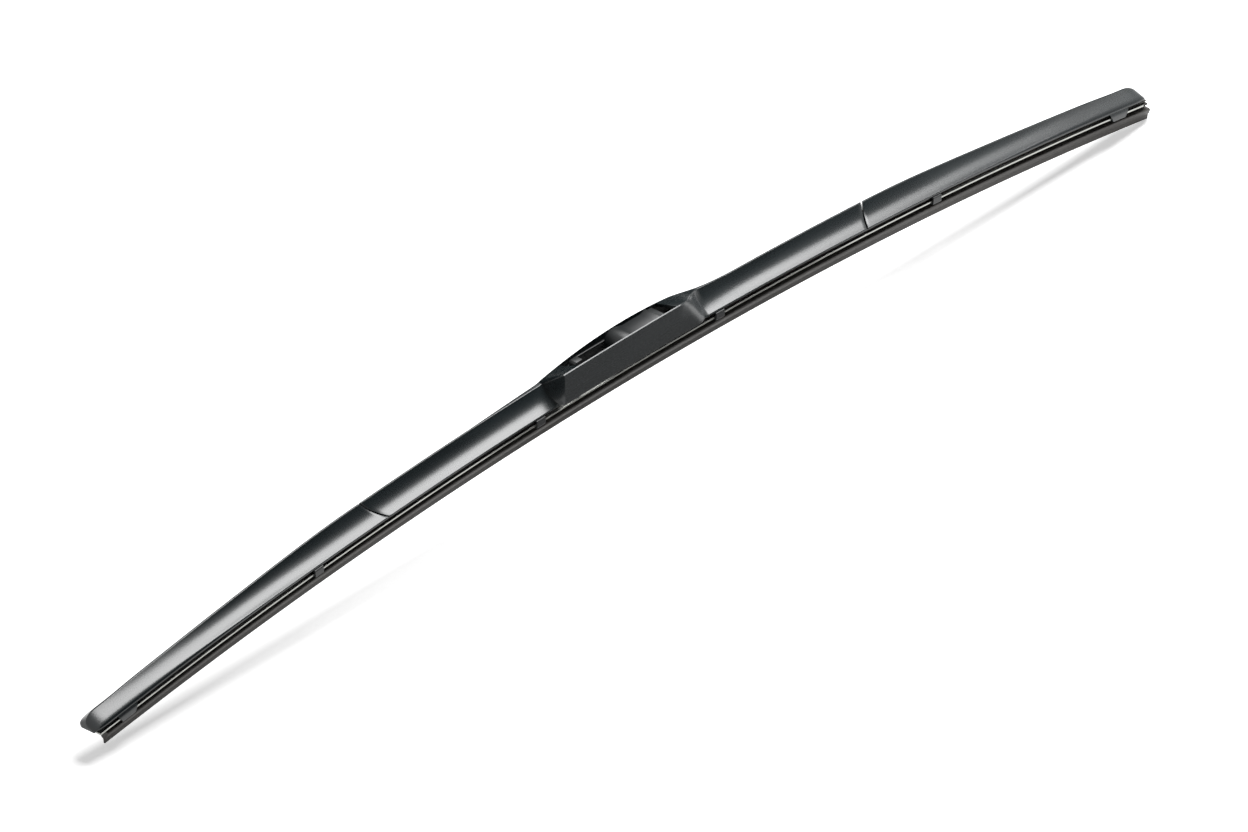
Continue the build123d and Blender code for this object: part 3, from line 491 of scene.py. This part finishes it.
GUSSET_END = LEVER_PIVOT + 8 * MM
LEVER_SLANT_START = NOSE_END - 120 * MM
END_SOFT = 0.15 * MM
FIN_RUN = 175.5
# Distance from the nose, rise of the front edge, drop of the ridge, sag of the face, pull of the
# ridge to the front, roll of the front edge, pinch of the nose
fin_rows = [(0.0, -1.0, 6.4, -0.1, 2.2, 0.3, 1.6), (0.5, -0.5, 5.2, -0.1, 2.2, 0.6, 1.1),
            (1.2, 0.0, 4.4, 0.0, 2.2, 1.2, 0.75), (2.5, 0.45, 3.5, 0.08, 2.2, 2.2, 0.4),
            (4.5, 0.75, 2.85, 0.15, 2.2, 3.0, 0.15), (7.0, 0.9, 2.55, 0.2, 2.2, 3.4, 0.0)]
# The same, by the share of the way to the lever pin
fin_rows += [(FIN_RUN * share, *row, 0.0) for share, *row in (
    (0.085, 1.0, 2.48, 0.25, 2.2, 3.6), (0.15, 0.95, 2.2, 0.3, 2.0, 3.2), (0.215, 0.85, 2.02, 0.36, 1.8, 2.6),
    (0.28, 0.8, 1.94, 0.42, 1.6, 2.0), (0.37, 0.7, 1.77, 0.58, 1.3, 1.3), (0.45, 0.6, 1.6, 0.74, 1.0, 0.9),
    (0.54, 0.5, 1.38, 0.86, 0.7, 0.55), (0.63, 0.4, 1.06, 0.96, 0.4, 0.35),
    (0.72, 0.25, 0.68, 1.02, 0.2, 0.35), (0.8, 0.1, 0.3, 1.07, 0.1, 0.35),
    (0.875, 0.05, 0.1, FIN_SAG, 0.0, 0.35), (0.945, 0.0, 0.0, FIN_SAG, 0.0, 0.35),
    (1.05, 0.0, 0.0, FIN_SAG, 0.0, 0.35))]
# Share of the way to the lever pin, drop of the hollow's roof, pull
hollow_rows = [(FIN_RUN * share, *row) for share, *row in (
    (0.062, 3.0, 2.2), (0.15, 2.6, 2.0), (0.28, 2.2, 1.6), (0.45, 1.6, 1.0), (0.63, 1.0, 0.4),
    (0.8, 0.3, 0.1), (0.945, 0.0, 0.0), (1.05, 0.0, 0.0))]


def smooth_row(rows, x):
    """Values at x on smooth curves through the rows."""
    last = len(rows) - 1
    i = max(k for k in range(last) if rows[k][0] <= x or k == 0)
    low, high = rows[i], rows[i + 1]
    span = high[0] - low[0]
    t = min(max((x - low[0]) / span, 0.0), 1.0)
    values = []
    for column in range(1, len(low)):
        slopes = []
        for k in (i, i + 1):
            if k in (0, last):
                slopes.append((high[column] - low[column]) / span)
            else:
                before = (rows[k][column] - rows[k - 1][column]) / (rows[k][0] - rows[k - 1][0])
                after = (rows[k + 1][column] - rows[k][column]) / (rows[k + 1][0] - rows[k][0])
                slopes.append(0.0 if before * after <= 0 else 2 * before * after / (before + after))
        a, b = low[column], high[column]
        values.append((1 + 2 * t) * (1 - t) ** 2 * a + t * (1 - t) ** 2 * span * slopes[0]
                      + t * t * (3 - 2 * t) * b + t * t * (t - 1) * span * slopes[1])
    return values


def bent(edge, ridge, sag):
    """Control point that bows the face between edge and ridge inwards by sag."""
    run = ridge[0] - edge[0]
    climb = ridge[1] - edge[1]
    chord = (run ** 2 + climb ** 2) ** 0.5
    middle = ((edge[0] + ridge[0]) / 2, (edge[1] + ridge[1]) / 2)
    return (middle[0] + 2 * sag * climb / chord, middle[1] - 2 * sag * run / chord)


def fin_points(edge_h, ridge_h, sag, pull=0.0, pinch=0.0):
    """Outer corners of a fin: foot, front edge, bend of the face, ridge front, ridge rear, rear foot."""
    foot_h = min(SKIRT_BOTTOM, edge_h - SKIRT)
    edge = (FRONT_Y + pinch, edge_h)
    ridge_back = pull + RIDGE_PINCH * pinch
    ridge = (RIDGE_FRONT_Y - ridge_back, ridge_h)
    return [(FRONT_Y + pinch, foot_h), edge, bent(edge, ridge, sag), ridge,
            (RIDGE_REAR_Y - ridge_back, ridge_h), (REAR_Y - REAR_PINCH * pinch, foot_h)]


def cavity_points(drop, pull=0.0, foot_h=SKIRT_BOTTOM):
    """Inner corners of a fin, from the rear foot over the roof to the front foot."""
    edge = (CAVITY_FRONT_Y, foot_h)
    roof_y = CAVITY_RIDGE_Y - pull
    ridge = (roof_y - CAVITY_CORNER, CAVITY_ROOF - CAVITY_CORNER_DROP - drop)
    return [(CAVITY_REAR_Y, foot_h), (roof_y, CAVITY_ROOF - drop), ridge, bent(edge, ridge, CAVITY_SAG), edge]


def curve_points(start, bend, end, shares):
    """Points of a curved face at the shares of the way along it, as plain corners."""
    points = []
    for t in shares:
        point = tuple((1 - t) ** 2 * a + 2 * t * (1 - t) * b + t * t * c for a, b, c in zip(start, bend, end))
        points.append(point + (0,))
    return points


def shell_ring(outer, inner, roll=RIDGE_SOFT, soft=RIDGE_SOFT):
    """Closed outline of a hollow section, its front edge rolled over by roll, its ridge rounded by soft."""
    foot, edge, bend, ridge, back, rear = outer
    rear_in, roof_rear, roof_front, roof_bend, front_in = inner
    chord = (Vector(ridge) - Vector(edge)).length
    first = min(roll / chord, 0.6)
    roll_start = (edge[0], edge[1] - min(roll, 0.85 * (edge[1] - foot[1])))
    roll_end, = curve_points(edge, bend, ridge, [first])
    corners = [foot + (0.15,)]
    corners += curve_points(roll_start, edge, roll_end, [k / 6 for k in range(7)])
    face_shares = [first + (1 - first) * k / FACE_POINTS for k in range(1, FACE_POINTS)]
    corners += curve_points(edge, bend, ridge, face_shares)
    corners += [ridge + (soft,), back + (soft,), rear + (0.15,), rear_in + (0,), roof_rear + (0,),
                roof_front + (0,)]
    corners += curve_points(roof_front, roof_bend, front_in, [k / 6 for k in range(1, 6)])
    corners += [front_in + (0,)]
    return rounded(corners)


def shell(rings, end_soft, opening=None):
    """Mesh through rings of points, closed at both ends, its end edges rounded, with an open roof.

    An opening gives its first and last ring and the places of its front rim in the roof's two skins.
    """
    shape = bmesh.new()
    loops = [[shape.verts.new(point) for point in ring] for ring in rings]
    count = len(loops[0])
    first, last, rim, under = opening or (0, 0, -1, -1)
    for k, (near, far) in enumerate(zip(loops, loops[1:])):
        is_open = first <= k < last
        for i in range(count):
            j = (i + 1) % count
            if not (is_open and i in (rim, under)):
                shape.faces.new((near[i], near[j], far[j], far[i]))
        if is_open:
            shape.faces.new((near[rim], near[under + 1], far[under + 1], far[rim]))
            shape.faces.new((near[rim + 1], near[under], far[under], far[rim + 1]))
    if opening:
        for k in (first, last):
            shape.faces.new((loops[k][rim], loops[k][rim + 1], loops[k][under], loops[k][under + 1]))
    caps = [shape.faces.new(loops[0]), shape.faces.new(list(reversed(loops[-1])))]
    bmesh.ops.recalc_face_normals(shape, faces=shape.faces)
    rims = [edge for cap, soft in zip(caps, end_soft) if soft for edge in cap.edges]
    if rims:
        bmesh.ops.bevel(shape, geom=rims, offset=max(end_soft), segments=2, profile=0.5, affect="EDGES")
    mesh = bpy.data.meshes.new("shell")
    shape.to_mesh(mesh)
    shape.free()
    return mesh


def way(s, start, end):
    """Share of the way from start to end at s."""
    return min(max((s - start) / (end - start), 0.0), 1.0)


def eased(s, start, end):
    """The same share, with a soft start and end."""
    t = way(s, start, end)
    return t * t * (3 - 2 * t)


def gap_at(y):
    """Distance of the slanted gap's middle from the centre at y in metres."""
    share = (y / MM - FRONT_Y) / (REAR_Y - FRONT_Y)
    return GAP_FRONT + (GAP_REAR - GAP_FRONT) * share


# Glass-filled nylon, moulded in a finely spark-eroded tool: satin black with a slight blue,
# a little uneven in gloss where the melt has flowed
lever_nylon, tree, shader = new_material("nylon_glass_filled_black", IOR=1.53)
where = add(tree, "ShaderNodeTexCoord").outputs["Object"]
# Flow marks about 60 mm long and 8 mm high
stretch = add(tree, "ShaderNodeMapping", {"Vector": where, "Scale": (16, 120, 120)})
flow = add(tree, "ShaderNodeTexNoise", {"Vector": stretch.outputs[0], "Scale": 1.0, "Detail": 3.0})
# Grain of the tool, 0.25 mm
grain = add(tree, "ShaderNodeTexNoise", {"Vector": where, "Scale": 1 / (0.25 * MM), "Detail": 2.0})
colour = add(tree, "ShaderNodeValToRGB", {"Fac": flow.outputs[0]})
colour.color_ramp.elements[0].position = 0.3
colour.color_ramp.elements[0].color = linear("#12181a")
colour.color_ramp.elements[1].position = 0.7
colour.color_ramp.elements[1].color = linear("#192022")
both = add(tree, "ShaderNodeMath", {0: flow.outputs[0], 1: grain.outputs[0]}).outputs[0]
satin = add(tree, "ShaderNodeMapRange", {"Value": both, "From Min": 0.6, "From Max": 1.4,
                                         "To Min": 0.24, "To Max": 0.3})
bump = add(tree, "ShaderNodeBump", {"Height": grain.outputs[0], "Strength": 0.06, "Distance": 0.015 * MM})
tree.links.new(colour.outputs[0], shader.inputs["Base Color"])
tree.links.new(satin.outputs[0], shader.inputs["Roughness"])
tree.links.new(bump.outputs[0], shader.inputs["Normal"])

nose_steps = [0.0, 0.15, 0.3, 0.5, 0.8, 1.2, 1.8, 2.5, 3.4, 4.5, 5.7, 7.0, 8.5, 10.0, 12.5]
lever_steps = nose_steps + [15.0 + 4.0 * i for i in range(39)] + [170.0, 172.0, 173.5]
front_claw = rounded([(-CLAW_OUTER, FINGER_BOTTOM, 0.5), (-FINGER_REACH, FINGER_BOTTOM, 0.15),
                      (-FINGER_REACH, FINGER_TOP, 0.15), (-CLAW_INNER, FINGER_TOP, 0.1),
                      (-CLAW_INNER, YOKE_BOTTOM, 0.1), (-FINGER_REACH, YOKE_BOTTOM + 0.4, 0.1),
                      (-FINGER_REACH, SKIRT_BOTTOM + 0.3, 0.1), (-4.3, SKIRT_BOTTOM + 0.4, 0.2),
                      (-CLAW_OUTER, YOKE_BOTTOM - 0.2, 0.5)])
rear_claw = rounded([(CLAW_OUTER, FINGER_BOTTOM, 0.5), (CLAW_OUTER, SKIRT_BOTTOM + 0.9, 0.1),
                     (CLAW_INNER, SKIRT_BOTTOM + 0.9, 0.1), (CLAW_INNER, FINGER_TOP, 0.1),
                     (FINGER_REACH, FINGER_TOP, 0.15), (FINGER_REACH, FINGER_BOTTOM, 0.15)])
tongue_root = rounded([(3.4, 12.3, 0.1), (5.3, 12.3, 0.1), (5.3, 14.9, 0.1), (4.5, 14.9, 0.1),
                       (3.4, 14.2, 0.1)])
tongue_tip = bar_outline(3.4, 12.3, 4.5, 14.2)
gusset = rounded([(3.4, 13.5, 0.1), (6.8, 13.5, 0.1), (6.8, 17.2, 0.1), (3.4, 15.6, 0.1)])
for side, sign in (("left", -1), ("right", 1)):
    rings = []
    for far in lever_steps:
        rise, drop, sag, pull, roll, pinch = smooth_row(fin_rows, far)
        outer = fin_points(FRONT_EDGE + rise, RIDGE_TOP - drop, sag, pull, pinch)
        roof_drop, roof_pull = smooth_row(hollow_rows, far)
        foot_h = min(SKIRT_BOTTOM, outer[0][1])
        inner = cavity_points(roof_drop, roof_pull, foot_h)
        if far < hollow_rows[0][0]:
            # Solid nose: the hollow closes up to a shallow groove
            groove_h = foot_h + GROOVE_DEPTH
            inner = [(4.4 - 2 * pinch, foot_h), (3.4 - 2 * pinch, groove_h), (2.9 - 2 * pinch, groove_h),
                     (0.5 - pinch, groove_h), (CAVITY_FRONT_Y + pinch, foot_h)]
        ring = []
        for y, h in shell_ring(outer, inner, roll):
            s = NOSE_END - far * MM
            if s < LEVER_SLANT_START:
                end = gap_at(y) + COVER_GAP / 2
                share = (s - LEVER_SLANT_START) / (NOSE_END - lever_steps[-1] * MM - LEVER_SLANT_START)
                s = LEVER_SLANT_START + (end - LEVER_SLANT_START) * share
            ring.append(place(sign * s, h, y))
        rings.append(ring)
    parts = [shell(rings, (0.0, END_SOFT))]
    for outline, near, far in ((front_claw, TIP_CLAW - TIP_CLAW_HALF, TIP_CLAW + TIP_CLAW_HALF),
                               (rear_claw, TIP_CLAW - TIP_CLAW_HALF, TIP_CLAW + TIP_CLAW_HALF),
                               (tongue_root, TONGUE_SHOULDER, TONGUE_ROOT),
                               (gusset, GUSSET_END, TONGUE_ROOT),
                               (tongue_tip, TONGUE_END, LEVER_PIVOT)):
        start, end = sorted((sign * near, sign * far))
        part = bowed(outline, start, end, lever_nylon)
        if outline == front_claw:
            # The claw narrows towards its finger
            for vertex in part.vertices:
                s, h = along_bow(vertex.co)
                narrow = 1 - TIP_CLAW_NARROWING * way(h, SKIRT_BOTTOM * MM, FINGER_BOTTOM * MM)
                vertex.co = place(sign * TIP_CLAW + (s - sign * TIP_CLAW) * narrow, h, vertex.co.y)
        parts.append(part)
    cover = piece(side + "_lever_cover", parts, lever_nylon)
    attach(cover, side + "_lever")
    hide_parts(side + "_end_lever")

# CENTRE LEVER
# The same nylon: two fins and between them the hook bay, a box with a flat front wall, an
# arched rear wall and an open top. On the left the fin meets the bay in a slanted facet, on
# the right the bay eases into the fin in an S-curve.
BAY_LEFT = -41.5
BAY_FACET = 2.0
BAY_STRAIGHT = 29.0
BAY_RIGHT = 53.0
FACE_START = BAY_RIGHT - 17.0
FACE_END = BAY_RIGHT - 4.0
EDGE_START = BAY_RIGHT - 12.5
EDGE_END = BAY_RIGHT - 7.0
REAR_START = BAY_LEFT - 45.0
REAR_LEAVE = BAY_STRAIGHT + 6.0
REAR_END = BAY_RIGHT + 12.0
SADDLE = 1.3
SADDLE_START = BAY_RIGHT - 8.0
SADDLE_END = BAY_RIGHT + 22.0
BAY_FRONT_Y = -5.8
BAY_REAR_Y = 7.2
BAY_TOP = 26.6
BAY_CREST = 23.9
BAY_CREST_AT = 8.0
BAY_CREST_RUN = 53.0
BAY_SKIN = 0.8
BAY_ROOF = 1.3
OPENING_LEFT = BAY_LEFT + 9.5
OPENING_RIGHT = BAY_STRAIGHT - 1.0
CENTRE_END = 151.0
CENTRE_SLANT_START = 120 * MM
RIB_HALF = 4 * MM


def fin_shares(s):
    """How much of each point of the section at s is fin: a slanted facet on the left, on the right
    a front edge that stays forward longest and a top edge that swings back in an S-curve."""
    if s < BAY_LEFT:
        near = 1 - way(s, BAY_LEFT - BAY_FACET, BAY_LEFT)
        far = 1 - way(s, REAR_START, BAY_LEFT)
        return [near] * 4 + [far] * 2
    edge = way(s, EDGE_START, EDGE_END) ** 2
    face = way(s, FACE_START, FACE_END) ** 2
    top = eased(s, BAY_STRAIGHT, BAY_RIGHT)
    rear = eased(s, REAR_LEAVE, REAR_END)
    return [edge, edge, face, top, rear, rear]


def ridge_top(s):
    """Height of the fin's ridge at s, which comes down from the bay in a long slope on the right."""
    return RIDGE_TOP + (SADDLE * (1 - eased(s, SADDLE_START, SADDLE_END)) if s > 0 else 0.0)


def rear_wall_top(s):
    """Height of the arched rear wall of the bay."""
    arch = BAY_CREST - (BAY_CREST - RIDGE_TOP) * ((s - BAY_CREST_AT) / BAY_CREST_RUN) ** 2
    return max(arch, RIDGE_TOP)


def mixed(first, second, shares):
    """Points part of the way from one section to another, each by its own share."""
    return [tuple(p + (q - p) * share for p, q in zip(a, b)) for a, b, share in zip(first, second, shares)]


# The top of the bay's front wall slopes to the front: offsets of its points from the sharp corner
wall_land = [(0, -0.8), (0, -0.55), (0.03, -0.43), (0.12, -0.34), (0.5, -0.14), (0.7, -0.06),
             (BAY_SKIN, -0.04)]
# Places in a ring: the wall's land comes after two rounded corners and the face
corner_points = len(wall_land)
land_first = 2 * corner_points + FACE_POINTS - 1
roof_rim = land_first + corner_points - 1
roof_under = roof_rim + 2 * corner_points + 2

facet_steps = [BAY_LEFT - BAY_FACET + 0.5 * i for i in range(4)]
bay_steps = [BAY_LEFT, BAY_LEFT + BAY_ROOF, -37.0, -34.0] + [OPENING_LEFT + 3.0 * i for i in range(21)]
ease_steps = [BAY_STRAIGHT + 1.0 * i for i in range(10)] + [BAY_STRAIGHT + 10.0 + 0.5 * i for i in range(29)]
left_steps = [-CENTRE_END, -149.0, -146.0] + [-142.0 + 4.0 * i for i in range(25)]
right_steps = [BAY_RIGHT + 4.0 * i for i in range(1, 24)] + [146.0, 149.0, CENTRE_END]
centre_steps = left_steps + facet_steps + bay_steps + ease_steps + right_steps
rings = []
for s0 in centre_steps:
    shares = fin_shares(s0)
    edge = (BAY_FRONT_Y, FRONT_EDGE)
    top = (BAY_FRONT_Y, BAY_TOP)
    box = [(BAY_FRONT_Y, SKIRT_BOTTOM), edge, bent(edge, top, 0), top, (BAY_REAR_Y, rear_wall_top(s0)),
           (BAY_REAR_Y, SKIRT_BOTTOM)]
    outer = mixed(box, fin_points(FRONT_EDGE, ridge_top(s0), FIN_SAG), shares)
    front_in = (BAY_FRONT_Y + BAY_SKIN, SKIRT_BOTTOM)
    roof_in = (BAY_FRONT_Y + BAY_SKIN, BAY_TOP - BAY_ROOF)
    hollow = [(BAY_REAR_Y - BAY_SKIN, SKIRT_BOTTOM), (BAY_REAR_Y - BAY_SKIN, rear_wall_top(s0) - BAY_ROOF),
              roof_in, bent(front_in, roof_in, 0), front_in]
    inner_share = 1.0 if s0 < BAY_LEFT + BAY_ROOF else shares[3]
    inner = mixed(hollow, cavity_points(0), [inner_share] * 5)
    section_points = shell_ring(outer, inner)
    for k, (across, up) in enumerate(wall_land):
        wall_point = (Vector(outer[3]) + Vector((across, up))) * MM
        section_points[land_first + k] = wall_point.lerp(section_points[land_first + k], shares[3])
    ring = []
    for y, h in section_points:
        s = s0 * MM
        if abs(s) > CENTRE_SLANT_START:
            end = gap_at(y) - COVER_GAP / 2
            share = (abs(s) - CENTRE_SLANT_START) / (CENTRE_END * MM - CENTRE_SLANT_START)
            s = (CENTRE_SLANT_START + (end - CENTRE_SLANT_START) * share) * (1 if s > 0 else -1)
        ring.append(place(s, h, y))
    rings.append(ring)
opening_rings = (centre_steps.index(OPENING_LEFT), centre_steps.index(OPENING_RIGHT))
body = shell(rings, (END_SOFT, END_SOFT), opening_rings + (roof_rim, roof_under))
rib_outline = rounded([(2.1, 12.3, 0.1), (3.2, 12.3, 0.1), (3.2, 15.4, 0.1), (2.1, 14.6, 0.1)])
ribs = [bowed(rib_outline, sign * LEVER_PIVOT - RIB_HALF, sign * LEVER_PIVOT + RIB_HALF, lever_nylon)
        for sign in (-1, 1)]
centre = piece("centre_lever_cover", [body] + ribs, lever_nylon)
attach(centre, "centre")
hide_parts("centre_lever")

# HOOK BRACKET
# A channel of black coated steel inside the bay, folded from one blank: two walls that carry
# the hook pin, a web at each end, and a lug that steadies the arm's hook.
bracket = softened("hook_bracket_channel", "hook_bracket", coated_steel, 0.15 * MM)
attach(bracket, "centre")
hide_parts("hook_bracket")

# HOOK ADAPTER
# A block moulded in dark grey acetal. It snaps onto the hook pin and turns on it, its round
# nose takes the bend of the hook, and a springy latch with a bump holds the hook's hole.

# Acetal, moulded: dark grey and slightly waxy
acetal, tree, shader = new_material("acetal_dark_grey", IOR=1.48)
where = add(tree, "ShaderNodeTexCoord").outputs["Object"]
# Grain of the tool, 0.3 mm
grain = add(tree, "ShaderNodeTexNoise", {"Vector": where, "Scale": 1 / (0.3 * MM), "Detail": 2.0})
colour = add(tree, "ShaderNodeValToRGB", {"Fac": grain.outputs[0]})
colour.color_ramp.elements[0].color = linear("#0d1011")
colour.color_ramp.elements[1].color = linear("#14181a")
satin = add(tree, "ShaderNodeMapRange", {"Value": grain.outputs[0], "To Min": 0.34, "To Max": 0.46})
bump = add(tree, "ShaderNodeBump", {"Height": grain.outputs[0], "Strength": 0.2, "Distance": 0.02 * MM})
tree.links.new(colour.outputs[0], shader.inputs["Base Color"])
tree.links.new(satin.outputs[0], shader.inputs["Roughness"])
tree.links.new(bump.outputs[0], shader.inputs["Normal"])

adapter = softened("hook_adapter_block", "hook_adapter", acetal, 0.25 * MM)
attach(adapter, "adapter")
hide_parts("hook_adapter")

# TABLE, LIGHT AND CAMERA
# A plain pale table and one large softbox high on the right. Cards stand out of the picture: a
# dark one in front keeps the upper half of the fins deep, a low dark one behind the decks, and
# a grey one on the table the wall of the bay. The camera looks from the left.
TABLE_HALF = 3.0
TABLE_LIFT = 0.5
SOFTBOX_AT = (0.925, 0.175, 1.4)
SOFTBOX_AIM = (0.925, 0.175, 0.0)
SOFTBOX_WIDE = 1.55
SOFTBOX_HIGH = 0.85
SOFTBOX_POWER = 50
table_mesh = bpy.data.meshes.new("table")
table_z = cad_low.z
table_mesh.from_pydata([(-TABLE_HALF, -TABLE_HALF, table_z), (TABLE_HALF, -TABLE_HALF, table_z),
                        (TABLE_HALF, TABLE_HALF, table_z), (-TABLE_HALF, TABLE_HALF, table_z)], [],
                       [(0, 1, 2, 3)])
table = bpy.data.objects.new("table", table_mesh)
bpy.context.scene.collection.objects.link(table)
paper, tree, shader = new_material("paper_white", Roughness=0.9)
shader.inputs["Base Color"].default_value = linear("#f4f4f4")
shader.inputs["Specular IOR Level"].default_value = 0.1
# A little light of its own where it is looked at, the same all over, so that it shows as white
ray = add(tree, "ShaderNodeLightPath").outputs
seen = add(tree, "ShaderNodeMath", {0: ray["Is Camera Ray"], 1: ray["Is Glossy Ray"]}, operation="MAXIMUM")
seen = add(tree, "ShaderNodeMath", {0: seen.outputs[0], 1: ray["Is Transmission Ray"]}, operation="MAXIMUM")
lift = add(tree, "ShaderNodeMath", {0: seen.outputs[0], 1: TABLE_LIFT}, operation="MULTIPLY")
tree.links.new(lift.outputs[0], shader.inputs["Emission Strength"])
shader.inputs["Emission Color"].default_value = linear("#ffffff")
table_mesh.materials.append(paper)
table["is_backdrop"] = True

black_card, tree, shader = new_material("card_black", Roughness=0.9)
shader.inputs["Base Color"].default_value = linear("#141414")
grey_card, tree, shader = new_material("card_grey", Roughness=0.9)
shader.inputs["Base Color"].default_value = linear("#8a8a8a")
cards = (("card_front", black_card,
          [(-0.1, -1.6, 0), (0.95, -0.73, 0), (1.6, -0.2, 1.75), (-0.1, -1.6, 1.75)]),
         ("card_behind", black_card,
          [(-0.3, 0.13, -0.035), (0.6, 0.13, -0.035), (0.6, 0.13, 0.115), (-0.3, 0.13, 0.115)]),
         ("card_low", grey_card,
          [(-0.06, -0.13, -0.04), (0.18, -0.13, -0.04), (0.16, -0.02, -0.04), (-0.05, -0.02, -0.04)]))
for name, colour, corners in cards:
    card_mesh = bpy.data.meshes.new(name)
    card_mesh.from_pydata(corners, [], [(0, 1, 2, 3)])
    card_mesh.materials.append(colour)
    card = bpy.data.objects.new(name, card_mesh)
    bpy.context.scene.collection.objects.link(card)
    card.visible_camera = False
    if name != "card_front":
        card.visible_diffuse = False
        card.visible_shadow = False
    card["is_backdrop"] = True


def softbox(name, at, aim, wide, high, power):
    """Rectangular lamp at a point, turned to its aim."""
    lamp = bpy.data.lights.new(name, "AREA")
    lamp.shape = "RECTANGLE"
    lamp.size = wide
    lamp.size_y = high
    lamp.energy = power
    thing = bpy.data.objects.new(name, lamp)
    thing.location = at
    thing.rotation_euler = (Vector(aim) - Vector(at)).to_track_quat("-Z", "Y").to_euler()
    bpy.context.scene.collection.objects.link(thing)


softbox("softbox_main", SOFTBOX_AT, SOFTBOX_AIM, SOFTBOX_WIDE, SOFTBOX_HIGH, SOFTBOX_POWER)

world = bpy.data.worlds.new("studio")
world.use_nodes = True
tree = world.node_tree
tree.nodes.clear()
ray = add(tree, "ShaderNodeLightPath").outputs
seen = add(tree, "ShaderNodeMath", {0: ray["Is Camera Ray"], 1: ray["Is Glossy Ray"]}, operation="MAXIMUM")
seen = add(tree, "ShaderNodeMath", {0: seen.outputs[0], 1: ray["Is Transmission Ray"]}, operation="MAXIMUM")
strength = add(tree, "ShaderNodeMapRange", {"Value": seen.outputs[0], "To Min": 0.15, "To Max": 1.0})
sky = add(tree, "ShaderNodeBackground", {"Color": linear("#ffffff"), "Strength": strength.outputs[0]})
add(tree, "ShaderNodeOutputWorld", {"Surface": sky.outputs[0]})
bpy.context.scene.world = world
bpy.context.scene.view_settings.view_transform = "Standard"

# A very long lens, because the photograph shows no perspective
CAMERA_AZIMUTH = radians(-48.7)
CAMERA_ELEVATION = radians(32)
CAMERA_LENS = 1000
PIXELS_PER_MM = 2.4433
FRAME_WIDTH = 1248
SENSOR_WIDTH = 36
AIM_RIGHT = 0.806 * MM
AIM_DOWN = 29.527 * MM
camera_right = Vector((cos(CAMERA_AZIMUTH), sin(CAMERA_AZIMUTH), 0))
camera_back = Vector((sin(CAMERA_AZIMUTH) * cos(CAMERA_ELEVATION),
                      -cos(CAMERA_AZIMUTH) * cos(CAMERA_ELEVATION), sin(CAMERA_ELEVATION)))
camera_up = camera_back.cross(camera_right)
camera_data = bpy.data.cameras.new("camera")
camera_data.lens = CAMERA_LENS
camera_data.sensor_width = SENSOR_WIDTH
camera_data.clip_end = 100
camera = bpy.data.objects.new("camera", camera_data)
distance = CAMERA_LENS / SENSOR_WIDTH * FRAME_WIDTH / PIXELS_PER_MM * MM
camera_aim = camera_right * AIM_RIGHT - camera_up * AIM_DOWN
camera.location = camera_aim + camera_back * distance
camera.rotation_euler = Matrix((camera_right, camera_up, camera_back)).transposed().to_euler()
bpy.context.scene.collection.objects.link(camera)
bpy.context.scene.camera = camera

low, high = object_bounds()
